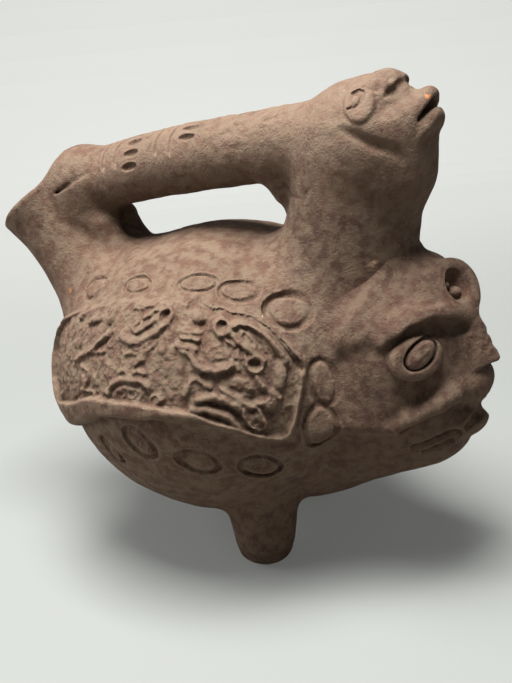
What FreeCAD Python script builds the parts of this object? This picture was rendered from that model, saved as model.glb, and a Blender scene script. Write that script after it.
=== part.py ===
import FreeCAD, Part
import math
import os
from FreeCAD import Vector

os.makedirs("parts", exist_ok=True)

# A hand-built clay vessel on three stub feet, with a bridge handle, a flared spout,
# an animal head on a thick neck, a mask at the front and a moulded relief on each side.
# Millimetres, +X towards the mask, +Z up. The near side, -Y, is modelled first.

# Driving sizes of the bowl
body_radius = 82.0
body_half_height = 69.5
body_wall = 6.0
body_centre_height = 87.0
overrun = 4.0

# Spout and its rim
spout_radius = 23.5
spout_bore = 17.5
spout_length = 58.0
spout_foot_radius = 31.0
rim_radius = 26.0
rim_height = 9.0
rim_bore = 20.5

# Bridge handle, its rear knob and its lug
handle_radius = 16.5
handle_front_radius = 19.0
knob_length = 20.0
knob_width = 18.5
lug_radius = 9.0

# Neck and animal head
neck_radius = 31.0
neck_half_width = 28.5
neck_wall = 7.0
skull_length = 30.0
skull_half_width = 29.0
skull_height = 27.0
skull_wall = 8.0
jowl_radius = 17.0
snout_radius = 12.5
lip_radius = 6.5
coil_radius = 8.5
coil_thickness = 2.4
bead_radius = 3.4

# Mask
mask_depth = 37.0
mask_half_width = 41.0
mask_half_height = 50.0
mask_wall = 8.0
boss_radius = 13.5
boss_thickness = 7.0
nose_length = 17.0
nose_root_radius = 10.0
nose_tip_radius = 4.0
nostril_radius = 7.0
mouth_radius = 9.0
mouth_depth = 7.0
mask_lip_radius = 6.0
chin_radius = 22.0
throat_radius = 24.0
throat_pitch = -34.0
lid_length = 15.0
lid_height = 11.0
lid_thickness = 3.0
pellet_length = 9.5
pellet_height = 7.0
pellet_depth = 5.0
brow_radius = 4.5
fold_radius = 5.5

# Relief plaques on the flanks
plaque_thickness = 4.0
relief_height = 6.5
frame_height = 7.5
frame_width = 7.0
motif_line = 3.4

# Stamped ovals
oval_length = 17.5
oval_width = 11.5
oval_line = 1.8
oval_depth = 1.6
big_oval_length = 20.0
big_oval_width = 16.0

# Feet
foot_top_radius = 15.5
foot_radius = 12.5
foot_sole_radius = 6.0
foot_round = 7.0
collar_width = 1.8
collar_height = 5.5

# Places, as shares of the body's radius: (x, z) from the middle of the bowl
rim_centre_share = (-1.295, 0.988)
spout_axis_share = (-0.618, 0.786)
spout_waist_share = 0.55
handle_path_shares = [(-0.92, 1.05), (-0.72, 1.115), (-0.49, 1.18), (-0.12, 1.255),
                      (0.24, 1.31), (0.52, 1.335), (0.74, 1.34)]
handle_size_shares = [0.0, 0.0, 0.0, 0.0, 0.0, 0.45, 1.0]
knob_centre_share = (-0.94, 1.08)
lug_path_shares = [(0.42, 1.22), (0.47, 1.08), (0.53, 0.93)]
neck_place_shares = [(0.58, 0.2), (0.68, 0.5), (0.765, 0.75), (0.83, 1.0), (0.885, 1.17), (0.93, 1.3)]
neck_flare_shares = [1.6, 1.36, 1.13, 1.0, 0.95, 0.75]
skull_centre_share = (0.965, 1.345)
jowl_centre_share = (1.09, 1.2)
snout_centre_share = (1.1, 1.565)
upper_lip_share = (1.185, 1.54)
lower_lip_share = (1.25, 1.425)
mask_centre_share = (1.035, 0.155)
boss_centre_share = (1.345, 0.545)
nose_root_share = (1.36, 0.42)
nose_tip_share = (1.59, 0.2)
nostril_share = (1.43, 0.14)
mouth_centre_share = (1.48, -0.09)
upper_mouth_lip_share = (1.44, 0.0)
lower_mouth_lip_share = (1.43, -0.2)
chin_centre_share = (1.19, -0.22)
throat_centre_share = (0.78, -0.403)

# Outline of a plaque seen from the side, as shares of the body's radius
plaque_top_shares = [(-0.83, 0.28), (-0.59, 0.52), (-0.2, 0.625), (0.15, 0.645),
                     (0.45, 0.565), (0.66, 0.43), (0.79, 0.32)]
plaque_bottom_shares = [(-0.83, -0.12), (-0.55, 0.035), (-0.2, 0.12), (0.09, 0.14),
                        (0.35, 0.115), (0.58, 0.03), (0.79, -0.09)]

# Stamped ovals: azimuth from the mask in degrees, height as a share of the half height
top_ovals = [(148.0, 0.58), (111.0, 0.755), (82.0, 0.8), (57.0, 0.765)]
big_oval = (38.0, 0.61)
side_ovals = [(32.0, 0.18), (34.0, -0.09)]
bottom_ovals = [(54.0, -0.29), (74.0, -0.22), (94.0, -0.12), (112.0, -0.26)]

# Feet: (x, y) shares of the body's radius at the sole, and how far the top leans out
foot_places = {
    "foot_near": (0.34, -0.41),
    "foot_far": (0.27, 0.43),
    "foot_rear": (-0.4, 0.16),
}
foot_lean_share = 0.12


def place(share, y=0):
    """A point from its shares of the body's radius, measured from the bowl's middle."""
    return Vector(share[0] * body_radius, y, body_centre_height + share[1] * body_radius)


def turned(shape, pitch, yaw, centre):
    """The shape tipped about Y, then turned about Z, and set at a centre."""
    made = shape.copy()
    made.rotate(Vector(0, 0, 0), Vector(0, 1, 0), pitch)
    made.rotate(Vector(0, 0, 0), Vector(0, 0, 1), yaw)
    made.translate(centre)
    return made


def ellipsoid(centre, semis, pitch=0, yaw=0):
    """A closed egg shape with three half lengths."""
    matrix = FreeCAD.Matrix()
    matrix.scale(semis[0], semis[1], semis[2])
    ball = Part.makeSphere(1)
    ball.rotate(Vector(0, 0, 0), Vector(0, 0, 1), 180)
    return turned(ball.transformGeometry(matrix), pitch, yaw, centre)


def oval_ring(centre, length, height, line, pitch=0, yaw=0):
    """A round clay coil laid in an oval, its flat side facing its own X axis."""
    roll_share = line / (length + height)
    matrix = FreeCAD.Matrix()
    matrix.scale(line / 2 / roll_share, length, height)
    ring = Part.makeTorus(1 - roll_share, roll_share, Vector(0, 0, 0), Vector(1, 0, 0))
    return turned(ring.transformGeometry(matrix), pitch, yaw, centre)


def oval_edge(middle, along, across):
    """A closed oval edge from its two half axes, a circle when they are alike."""
    if math.isclose(along.Length, across.Length, rel_tol=0.001):
        return Part.makeCircle(along.Length, middle, along.cross(across))
    if across.Length > along.Length:
        along, across = across, -along
    return Part.Ellipse(middle + along, middle + across, middle).toShape()


def tube(points, radii, round_ends=False):
    """A clay roll through points, with its own radius at each of them."""
    wires = []
    last = len(points) - 1
    for index, point in enumerate(points):
        ahead = points[min(index + 1, last)] - points[max(index - 1, 0)]
        ahead.normalize()
        circle = Part.Wire(Part.makeCircle(radii[index]))
        circle.Placement = FreeCAD.Placement(point, FreeCAD.Rotation(Vector(0, 0, 1), ahead))
        wires.append(circle)
    roll = Part.makeLoft(wires, True, False)
    if round_ends:
        roll = roll.fuse([Part.makeSphere(radii[0], points[0]), Part.makeSphere(radii[-1], points[-1])])
    return roll


def upright_loft(points, half_lengths, half_widths):
    """A solid through level ovals, from the lowest to the highest."""
    wires = []
    for point, long_half, wide_half in zip(points, half_lengths, half_widths):
        wires.append(Part.Wire(oval_edge(point, Vector(long_half, 0, 0), Vector(0, wide_half, 0))))
    return Part.makeLoft(wires, True, False)


def bowl(growth):
    """The bowl's egg shape about its own axis, grown or shrunk by a thickness."""
    radius = body_radius + growth
    return ellipsoid(Vector(0, 0, body_centre_height), (radius, radius, body_half_height + growth))


def turned_about(profile_points, base, axis):
    """A solid of revolution: (distance along, radius) points joined by one smooth curve."""
    low = profile_points[0]
    high = profile_points[-1]
    curve = Part.BSplineCurve()
    curve.interpolate([Vector(radius, 0, along) for along, radius in profile_points])
    edges = [
        Part.makeLine(Vector(0, 0, low[0]), Vector(low[1], 0, low[0])),
        curve.toShape(),
        Part.makeLine(Vector(high[1], 0, high[0]), Vector(0, 0, high[0])),
        Part.makeLine(Vector(0, 0, high[0]), Vector(0, 0, low[0])),
    ]
    solid = Part.Face(Part.Wire(edges)).revolve(Vector(0, 0, 0), Vector(0, 0, 1), 360)
    solid.Placement = FreeCAD.Placement(base, FreeCAD.Rotation(Vector(0, 0, 1), axis))
    return solid


def on_egg(centre, semis, yaw, pitch):
    """A point on an egg's skin, by yaw towards the near side and pitch upwards."""
    yaw_angle = math.radians(yaw)
    pitch_angle = math.radians(pitch)
    level = math.cos(pitch_angle)
    return centre + Vector(
        semis[0] * level * math.cos(yaw_angle),
        -semis[1] * level * math.sin(yaw_angle),
        semis[2] * math.sin(pitch_angle),
    )


def main_solid(shape):
    """The largest solid of a cut result, without crumbs."""
    return max(shape.Solids, key=lambda solid: solid.Volume)


def trimmed(shape, *others):
    """The shape where none of the others is, so that it meets them face to face."""
    for other in others:
        shape = shape.cut(other)
    return main_solid(shape)


def far_side(shape):
    """The same piece on the far flank."""
    return shape.mirror(Vector(0, 0, 0), Vector(0, 1, 0))


nodes = {}

# The bowl's outer and inner skins, and the spout as a turned tube on a slanting axis
bowl_outside = bowl(0)
bowl_inside = bowl(-body_wall)
rim_centre = place(rim_centre_share)
spout_axis = Vector(spout_axis_share[0], 0, spout_axis_share[1])
spout_base = rim_centre - spout_axis * (spout_length + spout_radius)
spout_reach = spout_length + spout_radius
spout_outside = turned_about(
    [(0, spout_foot_radius), (spout_radius, spout_foot_radius - body_wall / 2),
     (spout_reach * spout_waist_share, spout_radius), (spout_reach - rim_height, spout_radius)],
    spout_base, spout_axis,
)
spout_inside = turned_about(
    [(-overrun, spout_bore), (spout_reach / 2, spout_bore), (spout_reach - rim_height, spout_bore),
     (spout_reach, rim_bore), (spout_reach + overrun, rim_bore + overrun)],
    spout_base, spout_axis,
)
rim_outside = turned_about(
    [(spout_reach - rim_height, spout_radius),
     (spout_reach - rim_height / 2, (spout_radius + rim_radius * 4) / 5),
     (spout_reach - rim_height / 8, rim_radius),
     (spout_reach, (spout_radius + rim_radius) / 2)],
    spout_base, spout_axis,
)

# Neck: a wide oval tube that flares into the bowl
neck_points = [place(share) for share in neck_place_shares]
neck_outside = upright_loft(
    neck_points,
    [neck_radius * share for share in neck_flare_shares],
    [neck_half_width * share for share in neck_flare_shares],
)
neck_inside = upright_loft(
    neck_points,
    [neck_radius * share - neck_wall for share in neck_flare_shares],
    [neck_half_width * share - neck_wall for share in neck_flare_shares],
)

# Skull and mask: eggs with an even wall
skull_centre = place(skull_centre_share)
skull_semis = (skull_length, skull_half_width, skull_height)
skull_outside = ellipsoid(skull_centre, skull_semis)
skull_inside = ellipsoid(skull_centre, [semi - skull_wall for semi in skull_semis])
mask_centre = place(mask_centre_share)
mask_semis = (mask_depth, mask_half_width, mask_half_height)
mask_outside = ellipsoid(mask_centre, mask_semis)
mask_inside = ellipsoid(mask_centre, [semi - mask_wall for semi in mask_semis])

# One joined hollow runs from the bowl into the spout, neck, skull and mask
hollow = bowl_inside.fuse([spout_inside, neck_inside, skull_inside, mask_inside])

# Bowl from a lower and an upper dish luted rim to rim, each pressed in a near and a far half
cutter_side = (body_radius + overrun) * 2
lower_half = Part.makeBox(
    cutter_side, cutter_side, cutter_side,
    Vector(-cutter_side / 2, -cutter_side / 2, body_centre_height - cutter_side),
)
upper_half = Part.makeBox(
    cutter_side, cutter_side, cutter_side,
    Vector(-cutter_side / 2, -cutter_side / 2, body_centre_height),
)
near_half = Part.makeBox(
    cutter_side, cutter_side, cutter_side * 2,
    Vector(-cutter_side / 2, -cutter_side, body_centre_height - cutter_side),
)
bowl_shell = bowl_outside.cut(hollow)


def oval_stamp(azimuth, height_share, long_size, wide_size, upright):
    """The ring that a stamp presses into the bowl: an oval groove square to the skin."""
    angle = math.radians(azimuth)
    level = math.sqrt(1 - height_share * height_share)
    spot = Vector(
        body_radius * level * math.cos(angle),
        -body_radius * level * math.sin(angle),
        body_centre_height + body_half_height * height_share,
    )
    outward = Vector(
        level * math.cos(angle) / body_radius,
        -level * math.sin(angle) / body_radius,
        height_share / body_half_height,
    )
    outward.normalize()
    along = Vector(math.sin(angle), math.cos(angle), 0)
    if upright:
        along = outward.cross(along)
    across = outward.cross(along)
    start = spot - outward * oval_depth
    rings = []
    for shrink in (0, oval_line):
        long_half = long_size / 2 - shrink
        wide_half = wide_size / 2 - shrink
        edge = oval_edge(start, along * long_half, across * wide_half)
        rings.append(Part.Face(Part.Wire(edge)).extrude(outward * (oval_depth + overrun)))
    return rings[0].cut(rings[1])


stamps = [oval_stamp(azimuth, height, oval_length, oval_width, False)
          for azimuth, height in top_ovals + bottom_ovals]
stamps += [oval_stamp(azimuth, height, oval_length, oval_width, True) for azimuth, height in side_ovals]
stamps.append(oval_stamp(big_oval[0], big_oval[1], big_oval_length, big_oval_width, False))
stamps += [far_side(stamp) for stamp in stamps]
bowl_shell = bowl_shell.cut(stamps)
near_shell = bowl_shell.common(near_half)
nodes["bowl_lower_near"] = main_solid(near_shell.common(lower_half))
nodes["bowl_upper_near"] = main_solid(near_shell.common(upper_half))

# Spout wall and the rolled rim on it
nodes["spout_tube"] = trimmed(spout_outside, bowl_outside, spout_inside)
nodes["spout_rim"] = trimmed(rim_outside, spout_inside)

# Mask of a forehead slab and a jaw slab, the neck over bowl and mask, the skull over the neck
mask_shell = trimmed(mask_outside, bowl_outside, hollow)
slab_line = mask_centre.z
forehead_room = Part.makeBox(
    cutter_side, cutter_side, cutter_side, Vector(0, -cutter_side / 2, slab_line))
jaw_room = Part.makeBox(
    cutter_side, cutter_side, cutter_side, Vector(0, -cutter_side / 2, slab_line - cutter_side))
nodes["mask_forehead"] = main_solid(mask_shell.common(forehead_room))
nodes["mask_jaw"] = main_solid(mask_shell.common(jaw_room))
nodes["neck_tube"] = trimmed(neck_outside, bowl_outside, mask_outside, skull_outside, hollow)
nodes["animal_skull"] = trimmed(skull_outside, hollow)

# Knob on the spout's rim, bridge roll from knob to skull, and the lug below its front end
spout_whole = spout_outside.fuse(rim_outside)
knob_pitch = -14.0
knob = ellipsoid(place(knob_centre_share), (knob_length, knob_width, knob_width), knob_pitch)
nodes["handle_knob"] = trimmed(knob, spout_whole, bowl_outside)
handle_points = [place(share) for share in handle_path_shares]
handle_radii = [handle_radius + (handle_front_radius - handle_radius) * share
                for share in handle_size_shares]
handle = tube(handle_points, handle_radii)
nodes["handle_bridge"] = trimmed(handle, knob, spout_whole, skull_outside, neck_outside)
lug_points = [place(share) for share in lug_path_shares]
lug = tube(lug_points, [lug_radius, lug_radius * 0.9, lug_radius * 0.5])
nodes["handle_lug"] = trimmed(lug, handle, neck_outside, skull_outside)

# Animal head: jowl, snout, two lips and a coil of clay for each eye
jowl = ellipsoid(place(jowl_centre_share), (jowl_radius, jowl_radius * 1.3, jowl_radius * 1.1))
nodes["animal_jowl"] = trimmed(jowl, skull_outside, neck_outside, mask_outside)
snout = ellipsoid(place(snout_centre_share), (snout_radius, snout_radius * 1.2, snout_radius * 0.8), pitch=-40)
nodes["animal_snout"] = trimmed(snout, skull_outside)
upper_lip = ellipsoid(place(upper_lip_share), (lip_radius * 1.5, lip_radius * 2, lip_radius), pitch=-30)
nodes["animal_upper_lip"] = trimmed(upper_lip, skull_outside, snout)
lower_lip = ellipsoid(place(lower_lip_share), (lip_radius * 1.3, lip_radius * 2.2, lip_radius), pitch=-50)
nodes["animal_lower_lip"] = trimmed(lower_lip, skull_outside, upper_lip, snout, jowl)
eye_yaw = 84.0
eye_pitch = 42.0
eye_spot = on_egg(skull_centre, skull_semis, eye_yaw, eye_pitch)
coil = oval_ring(eye_spot, coil_radius, coil_radius * 1.3, coil_thickness * 2, -eye_pitch, -eye_yaw)
bead_spot = on_egg(skull_centre, [semi + coil_thickness / 4 for semi in skull_semis], eye_yaw, eye_pitch)
bead = Part.makeSphere(bead_radius, bead_spot)
nodes["eye_coil_near"] = trimmed(coil, skull_outside)
nodes["eye_bead_near"] = trimmed(bead, skull_outside, coil)

# Mask: forehead ring, nose, lips round the mouth, chin and the pad under it
boss_axis_pitch = -32.0
boss_centre = place(boss_centre_share)
boss = ellipsoid(boss_centre, (boss_thickness, boss_radius, boss_radius), boss_axis_pitch)
boss_front = turned(Part.makeSphere(boss_radius * 0.6), 0, 0, boss_centre + Vector(
    boss_radius * math.cos(math.radians(boss_axis_pitch)), 0,
    -boss_radius * math.sin(math.radians(boss_axis_pitch))))
nodes["mask_forehead_ring"] = trimmed(boss, mask_outside, boss_front)
nose_middle_share = [(root + tip) / 2 for root, tip in zip(nose_root_share, nose_tip_share)]
nose = tube([place(nose_root_share), place(nose_middle_share), place(nose_tip_share)],
            [nose_root_radius * 0.6, nose_root_radius * 0.9, nose_tip_radius])
nostrils = ellipsoid(place(nostril_share), (nose_length * 0.6, nostril_radius * 1.4, nostril_radius), pitch=-12)
nose = nose.fuse([ellipsoid(place(nose_tip_share), (nose_tip_radius,) * 3), nostrils])
nodes["mask_nose"] = trimmed(nose, mask_outside, boss)
mouth = ellipsoid(place(mouth_centre_share), (mouth_depth, mouth_radius, mask_lip_radius * 0.8))
upper_mouth = ellipsoid(
    place(upper_mouth_lip_share), (mask_lip_radius * 1.5, mouth_radius * 1.7, mask_lip_radius), pitch=-10)
lower_mouth = ellipsoid(
    place(lower_mouth_lip_share), (mask_lip_radius * 1.6, mouth_radius * 1.5, mask_lip_radius), pitch=10)
chin = ellipsoid(place(chin_centre_share), (chin_radius, chin_radius * 1.2, chin_radius * 0.85))
throat = ellipsoid(
    place(throat_centre_share), (throat_radius * 1.67, throat_radius * 1.42, throat_radius), throat_pitch)
nodes["mask_upper_lip"] = trimmed(upper_mouth, mask_outside, nose, mouth)
nodes["mask_chin"] = trimmed(chin, mask_outside, bowl_outside, mouth, upper_mouth)
nodes["mask_lower_lip"] = trimmed(lower_mouth, mask_outside, chin, mouth, upper_mouth)
nodes["mask_throat"] = trimmed(throat, mask_outside, bowl_outside, chin)

# Mask, near side: ring lids round a pellet, brow roll and cheek fold
lid_yaw = 52.0
lid_pitch = 14.0
lid_spot = on_egg(mask_centre, mask_semis, lid_yaw, lid_pitch)
lids = oval_ring(lid_spot, lid_length, lid_height, lid_thickness * 2, -lid_pitch, -lid_yaw)
pellet = ellipsoid(lid_spot, (pellet_depth, pellet_length, pellet_height), -lid_pitch, -lid_yaw)
nodes["mask_lids_near"] = trimmed(lids, mask_outside)
nodes["mask_pellet_near"] = trimmed(pellet, mask_outside, lids)
brow_angles = [(70.0, 24.0), (58.0, 30.0), (45.0, 33.0), (31.0, 33.0), (18.0, 29.0)]
brow_points = [on_egg(mask_centre, mask_semis, yaw, pitch) for yaw, pitch in brow_angles]
brow = tube(brow_points, [brow_radius * share for share in (0.4, 0.9, 1, 1, 0.6)], round_ends=True)
nodes["mask_brow_near"] = trimmed(brow, mask_outside, lids, boss, nose)
fold_angles = [(66.0, -30.0), (54.0, -22.0), (41.0, -17.0), (29.0, -15.0)]
fold_points = [on_egg(mask_centre, mask_semis, yaw, pitch) for yaw, pitch in fold_angles]
fold = tube(fold_points, [fold_radius * share for share in (0.4, 0.9, 1, 0.5)], round_ends=True)
nodes["mask_cheek_near"] = trimmed(fold, mask_outside, chin, upper_mouth, lower_mouth, nose, lids)

# Plaque outlines, seen from the side
plaque_front = plaque_top_shares[-1][0] * body_radius
plaque_rear = plaque_top_shares[0][0] * body_radius


def edge_curve(shares, shift):
    """A plaque's long edge as one smooth curve, moved up or down by a width."""
    curve = Part.BSplineCurve()
    curve.interpolate([place(share) + Vector(0, 0, shift) for share in shares])
    return curve.toShape()


def band(low_edge, high_edge):
    """The upright prism between two long edges, on the near side."""
    ends = [
        Part.makeLine(low_edge.valueAt(low_edge.FirstParameter), high_edge.valueAt(high_edge.FirstParameter)),
        Part.makeLine(low_edge.valueAt(low_edge.LastParameter), high_edge.valueAt(high_edge.LastParameter)),
    ]
    face = Part.Face(Part.Wire([low_edge, ends[1], high_edge, ends[0]]))
    return face.extrude(Vector(0, -body_radius - frame_height - overrun, 0))


def skin_layer(thickness):
    """A layer of clay laid on the outside of the bowl."""
    return bowl(thickness).cut(bowl_outside)


top_edge = edge_curve(plaque_top_shares, 0)
top_inner = edge_curve(plaque_top_shares, -frame_width)
bottom_edge = edge_curve(plaque_bottom_shares, 0)
bottom_inner = edge_curve(plaque_bottom_shares, frame_width)
frame_layer = skin_layer(frame_height)
inner_band = band(bottom_inner, top_inner)
end_box_height = body_half_height * 2
front_box = Part.makeBox(
    frame_width, body_radius * 2, end_box_height,
    Vector(plaque_front - frame_width, -body_radius * 2, body_centre_height - body_half_height))
rear_box = Part.makeBox(
    frame_width, body_radius * 2, end_box_height,
    Vector(plaque_rear, -body_radius * 2, body_centre_height - body_half_height))
nodes["frame_top_near"] = main_solid(frame_layer.common(band(top_inner, top_edge)))
nodes["frame_bottom_near"] = main_solid(frame_layer.common(band(bottom_edge, bottom_inner)))
nodes["frame_front_near"] = main_solid(frame_layer.common(inner_band).common(front_box))
nodes["frame_rear_near"] = main_solid(frame_layer.common(inner_band).common(rear_box))
field = skin_layer(plaque_thickness).common(inner_band).cut([front_box, rear_box])


def motif_prism(face):
    """A flat figure's outline pushed through the near flank."""
    return face.extrude(Vector(0, -body_radius - frame_height - overrun, 0))


def oval_face(share, long_half, wide_half, tilt=0):
    """A filled oval seen from the side, its long half turned by a tilt in degrees."""
    angle = math.radians(tilt)
    middle = place(share)
    along = Vector(math.cos(angle), 0, math.sin(angle))
    across = Vector(-math.sin(angle), 0, math.cos(angle))
    return Part.Face(Part.Wire(oval_edge(middle, along * long_half, across * wide_half)))


def ring_prism(share, long_half, wide_half, tilt=0):
    """An open oval ring, one line thick."""
    outer = oval_face(share, long_half, wide_half, tilt)
    inner = oval_face(share, long_half - motif_line, wide_half - motif_line, tilt)
    return motif_prism(outer.cut(inner))


def bar_prism(start_share, end_share, line):
    """A straight bar between two places, as wide as its line."""
    start = place(start_share)
    end = place(end_share)
    along = end - start
    along.normalize()
    across = Vector(-along.z, 0, along.x) * (line / 2)
    corners = [start + across, end + across, end - across, start - across, start + across]
    return motif_prism(Part.Face(Part.makePolygon(corners)))


# Relief: a leaf, a standing bird, a cartouche and a seated figure with a pendant
ring_size = motif_line * 1.7
bar_shares = [
    ((-0.6, 0.2), (-0.52, 0.4)), ((-0.5, 0.24), (-0.27, 0.42)), ((-0.42, 0.12), (-0.3, 0.26)),
    ((-0.14, 0.5), (-0.1, 0.57)), ((-0.04, 0.52), (-0.01, 0.58)), ((-0.15, 0.45), (-0.02, 0.4)),
    ((-0.02, 0.4), (0.1, 0.5)), ((-0.1, 0.38), (0.08, 0.36)), ((-0.04, 0.36), (-0.06, 0.31)),
    ((0.05, 0.36), (0.05, 0.31)), ((0.2, 0.43), (0.31, 0.43)), ((0.2, 0.48), (0.31, 0.48)),
    ((0.28, 0.41), (0.37, 0.32)), ((0.37, 0.32), (0.51, 0.33)), ((0.45, 0.52), (0.6, 0.45)),
    ((0.6, 0.45), (0.69, 0.34)), ((0.7, 0.29), (0.66, 0.2)), ((0.44, 0.25), (0.58, 0.16)),
    ((0.3, 0.22), (0.5, 0.14)),
]
motifs = [bar_prism(start, end, motif_line) for start, end in bar_shares]
motifs.append(motif_prism(oval_face((-0.28, 0.52), motif_line * 2, motif_line, 70)))
motifs.append(motif_prism(oval_face((-0.47, 0.46), motif_line, motif_line)))
motifs.append(ring_prism((0.07, 0.55), ring_size * 1.1, ring_size))
motifs.append(ring_prism((-0.07, 0.22), ring_size * 2, ring_size * 1.3))
motifs.append(ring_prism((0.4, 0.45), ring_size, ring_size * 0.9))
motifs.append(ring_prism((0.56, 0.36), ring_size, ring_size * 0.9))
motifs.append(ring_prism((0.615, 0.11), ring_size * 1.2, ring_size, 50))
relief_layer = skin_layer(relief_height)
relief_room = relief_layer.common(inner_band).cut([front_box, rear_box])
raised = [relief_room.common(motif) for motif in motifs]
nodes["relief_plaque_near"] = main_solid(field.fuse([shape for shape in raised if shape.Solids]))

# The far flank and the far half of each face repeat the near side
for name in [name for name in nodes if name.endswith("_near")]:
    nodes[name.replace("_near", "_far")] = far_side(nodes[name])

# Three stub feet with a clay collar luted round each
foot_height = body_centre_height - body_half_height * 0.6
foot_level_shares = [0.0, 0.05, 0.16, 0.45, 1.0]
foot_radii = [foot_sole_radius, foot_radius - foot_round * 0.35, foot_radius,
              (foot_radius + foot_top_radius) / 2, foot_top_radius]
for name, (x_share, y_share) in foot_places.items():
    sole = Vector(x_share * body_radius, y_share * body_radius, 0)
    points = [sole + Vector(x_share, y_share, 0) * (body_radius * foot_lean_share * level)
              + Vector(0, 0, foot_height * level) for level in foot_level_shares]
    foot = upright_loft(points, foot_radii, foot_radii)
    head = points[-1]
    yaw = math.degrees(math.atan2(head.y, head.x))
    out_share = math.hypot(head.x, head.y) / body_radius
    down_share = math.sqrt(1 - out_share * out_share)
    slope = math.atan2(out_share / body_radius, down_share / body_half_height)
    collar_radius = foot_top_radius + collar_width
    collar = ellipsoid(
        Vector(head.x, head.y, body_centre_height - body_half_height * down_share),
        (collar_radius / math.cos(slope), collar_radius, collar_height),
        -math.degrees(slope), yaw)
    nodes[name] = trimmed(foot, bowl_outside)
    nodes[name + "_collar"] = trimmed(collar, bowl_outside, foot)

# Everything is set over the origin by the whole part's own bounds
bounds = Part.makeCompound(list(nodes.values())).optimalBoundingBox(False, False)
shift = Vector(-(bounds.XMin + bounds.XMax) / 2, -(bounds.YMin + bounds.YMax) / 2, -bounds.ZMin)
faults = []
for name, shape in nodes.items():
    moved = shape.copy()
    moved.translate(shift)
    if not moved.isValid() or len(moved.Solids) != 1:
        faults.append(name)
    moved.exportStep("parts/" + name + ".step")
    box = moved.optimalBoundingBox(False, False)
    print(name, round(moved.Volume), [round(value, 1) for value in
          (box.XMin, box.YMin, box.ZMin, box.XMax, box.YMax, box.ZMax)])
print("shift", shift, "nodes", len(nodes))
assert not faults, faults
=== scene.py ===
import math
from concurrent.futures import ThreadPoolExecutor

import bmesh
import bpy
import numpy as np
import openvdb
from mathutils import Matrix, Vector


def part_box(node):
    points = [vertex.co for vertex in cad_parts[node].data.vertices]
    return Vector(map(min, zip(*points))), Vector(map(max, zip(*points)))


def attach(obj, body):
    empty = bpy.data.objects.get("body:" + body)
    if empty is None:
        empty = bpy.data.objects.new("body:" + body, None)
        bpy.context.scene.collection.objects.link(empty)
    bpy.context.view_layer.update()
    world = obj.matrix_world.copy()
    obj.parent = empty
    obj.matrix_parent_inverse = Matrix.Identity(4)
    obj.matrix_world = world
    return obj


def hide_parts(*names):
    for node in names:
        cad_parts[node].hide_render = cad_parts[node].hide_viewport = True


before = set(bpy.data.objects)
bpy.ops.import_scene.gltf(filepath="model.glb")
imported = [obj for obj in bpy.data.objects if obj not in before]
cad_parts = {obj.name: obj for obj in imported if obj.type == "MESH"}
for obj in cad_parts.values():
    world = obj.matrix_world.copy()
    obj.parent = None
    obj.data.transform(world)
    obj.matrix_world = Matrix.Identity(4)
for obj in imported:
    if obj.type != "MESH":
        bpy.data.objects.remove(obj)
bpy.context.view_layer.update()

# THE BOWL: a hollow egg of brown earthenware, pressed in a lower and an upper dish, each in
# two halves, luted rim to rim and smoothed by hand while the clay was soft.
# Clay is shaped here in millimetres from the bowl's own middle, then set down in metres.
dish_low, dish_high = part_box("bowl_lower_near")
bowl_radius, bowl_half_height, bowl_wall = 82.0, 69.5, 6.0
bowl_middle = np.array((dish_low.x * 1000 + bowl_radius, 0.0, dish_high.z * 1000))
grain_share = 1.0
table_level, head_top = -bowl_middle[2], 139.4
hands = ThreadPoolExecutor(4)
pieces, clays = [], {}


def near_side(p):
    """Both flanks read as the near one, so that what is on one is on the other."""
    return p * np.array((1, 0, 1), np.float32) - np.abs(p) * np.array((0, 1, 0), np.float32)


def joined(a, b, width):
    """Two lumps of clay pressed together, with a smoothed fillet of this width between them."""
    mix = np.clip(0.5 + 0.5 * (b - a) / width, 0, 1)
    return b + (a - b) * mix - width * mix * (1 - mix)


def carved(a, tool, width):
    """Clay with a tool's shape taken out of it, its edge rounded to this width."""
    return -joined(-a, tool, width)


def turned(pitch=0.0, yaw=0.0):
    """Axes of a lump whose nose is lifted by pitch and swung to the near side by yaw, in degrees."""
    p, y = math.radians(pitch), math.radians(yaw)
    ahead = (math.cos(p) * math.cos(y), -math.cos(p) * math.sin(y), math.sin(p))
    side = (math.sin(y), math.cos(y), 0.0)
    return np.array((ahead, side, np.cross(ahead, side)), np.float32).T


def egg(p, middle, semis, pitch=0.0, yaw=0.0):
    """Distance to an egg-shaped lump, below zero inside it."""
    q = (p - np.array(middle, np.float32)) @ turned(pitch, yaw)
    semis = np.array(semis, np.float32)
    near = np.linalg.norm(q / semis, axis=1)
    return near * (near - 1) / (np.linalg.norm(q / (semis * semis), axis=1) + 1e-6)


def off_oval(along, across, long_half, wide_half):
    """Millimetres outside an oval outline in a flat patch, below zero inside it."""
    size = np.sqrt((along / long_half) ** 2 + (across / wide_half) ** 2) + 1e-6
    return (size - 1) * size / np.sqrt((along / long_half ** 2) ** 2 + (across / wide_half ** 2) ** 2 + 1e-9)


def roll(p, places, radii):
    """Distance to a rolled coil of clay through places, with its own radius at each."""
    places = np.array(places, np.float32)
    found = np.full(len(p), 1e6, np.float32)
    for a, b, thick_a, thick_b in zip(places[:-1], places[1:], radii[:-1], radii[1:]):
        along = b - a
        share = np.clip((p - a) @ along / (along @ along), 0, 1)
        reach = np.linalg.norm(p - a - share[:, None] * along, axis=1)
        found = np.minimum(found, reach - thick_a - share * (thick_b - thick_a))
    return found


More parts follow.
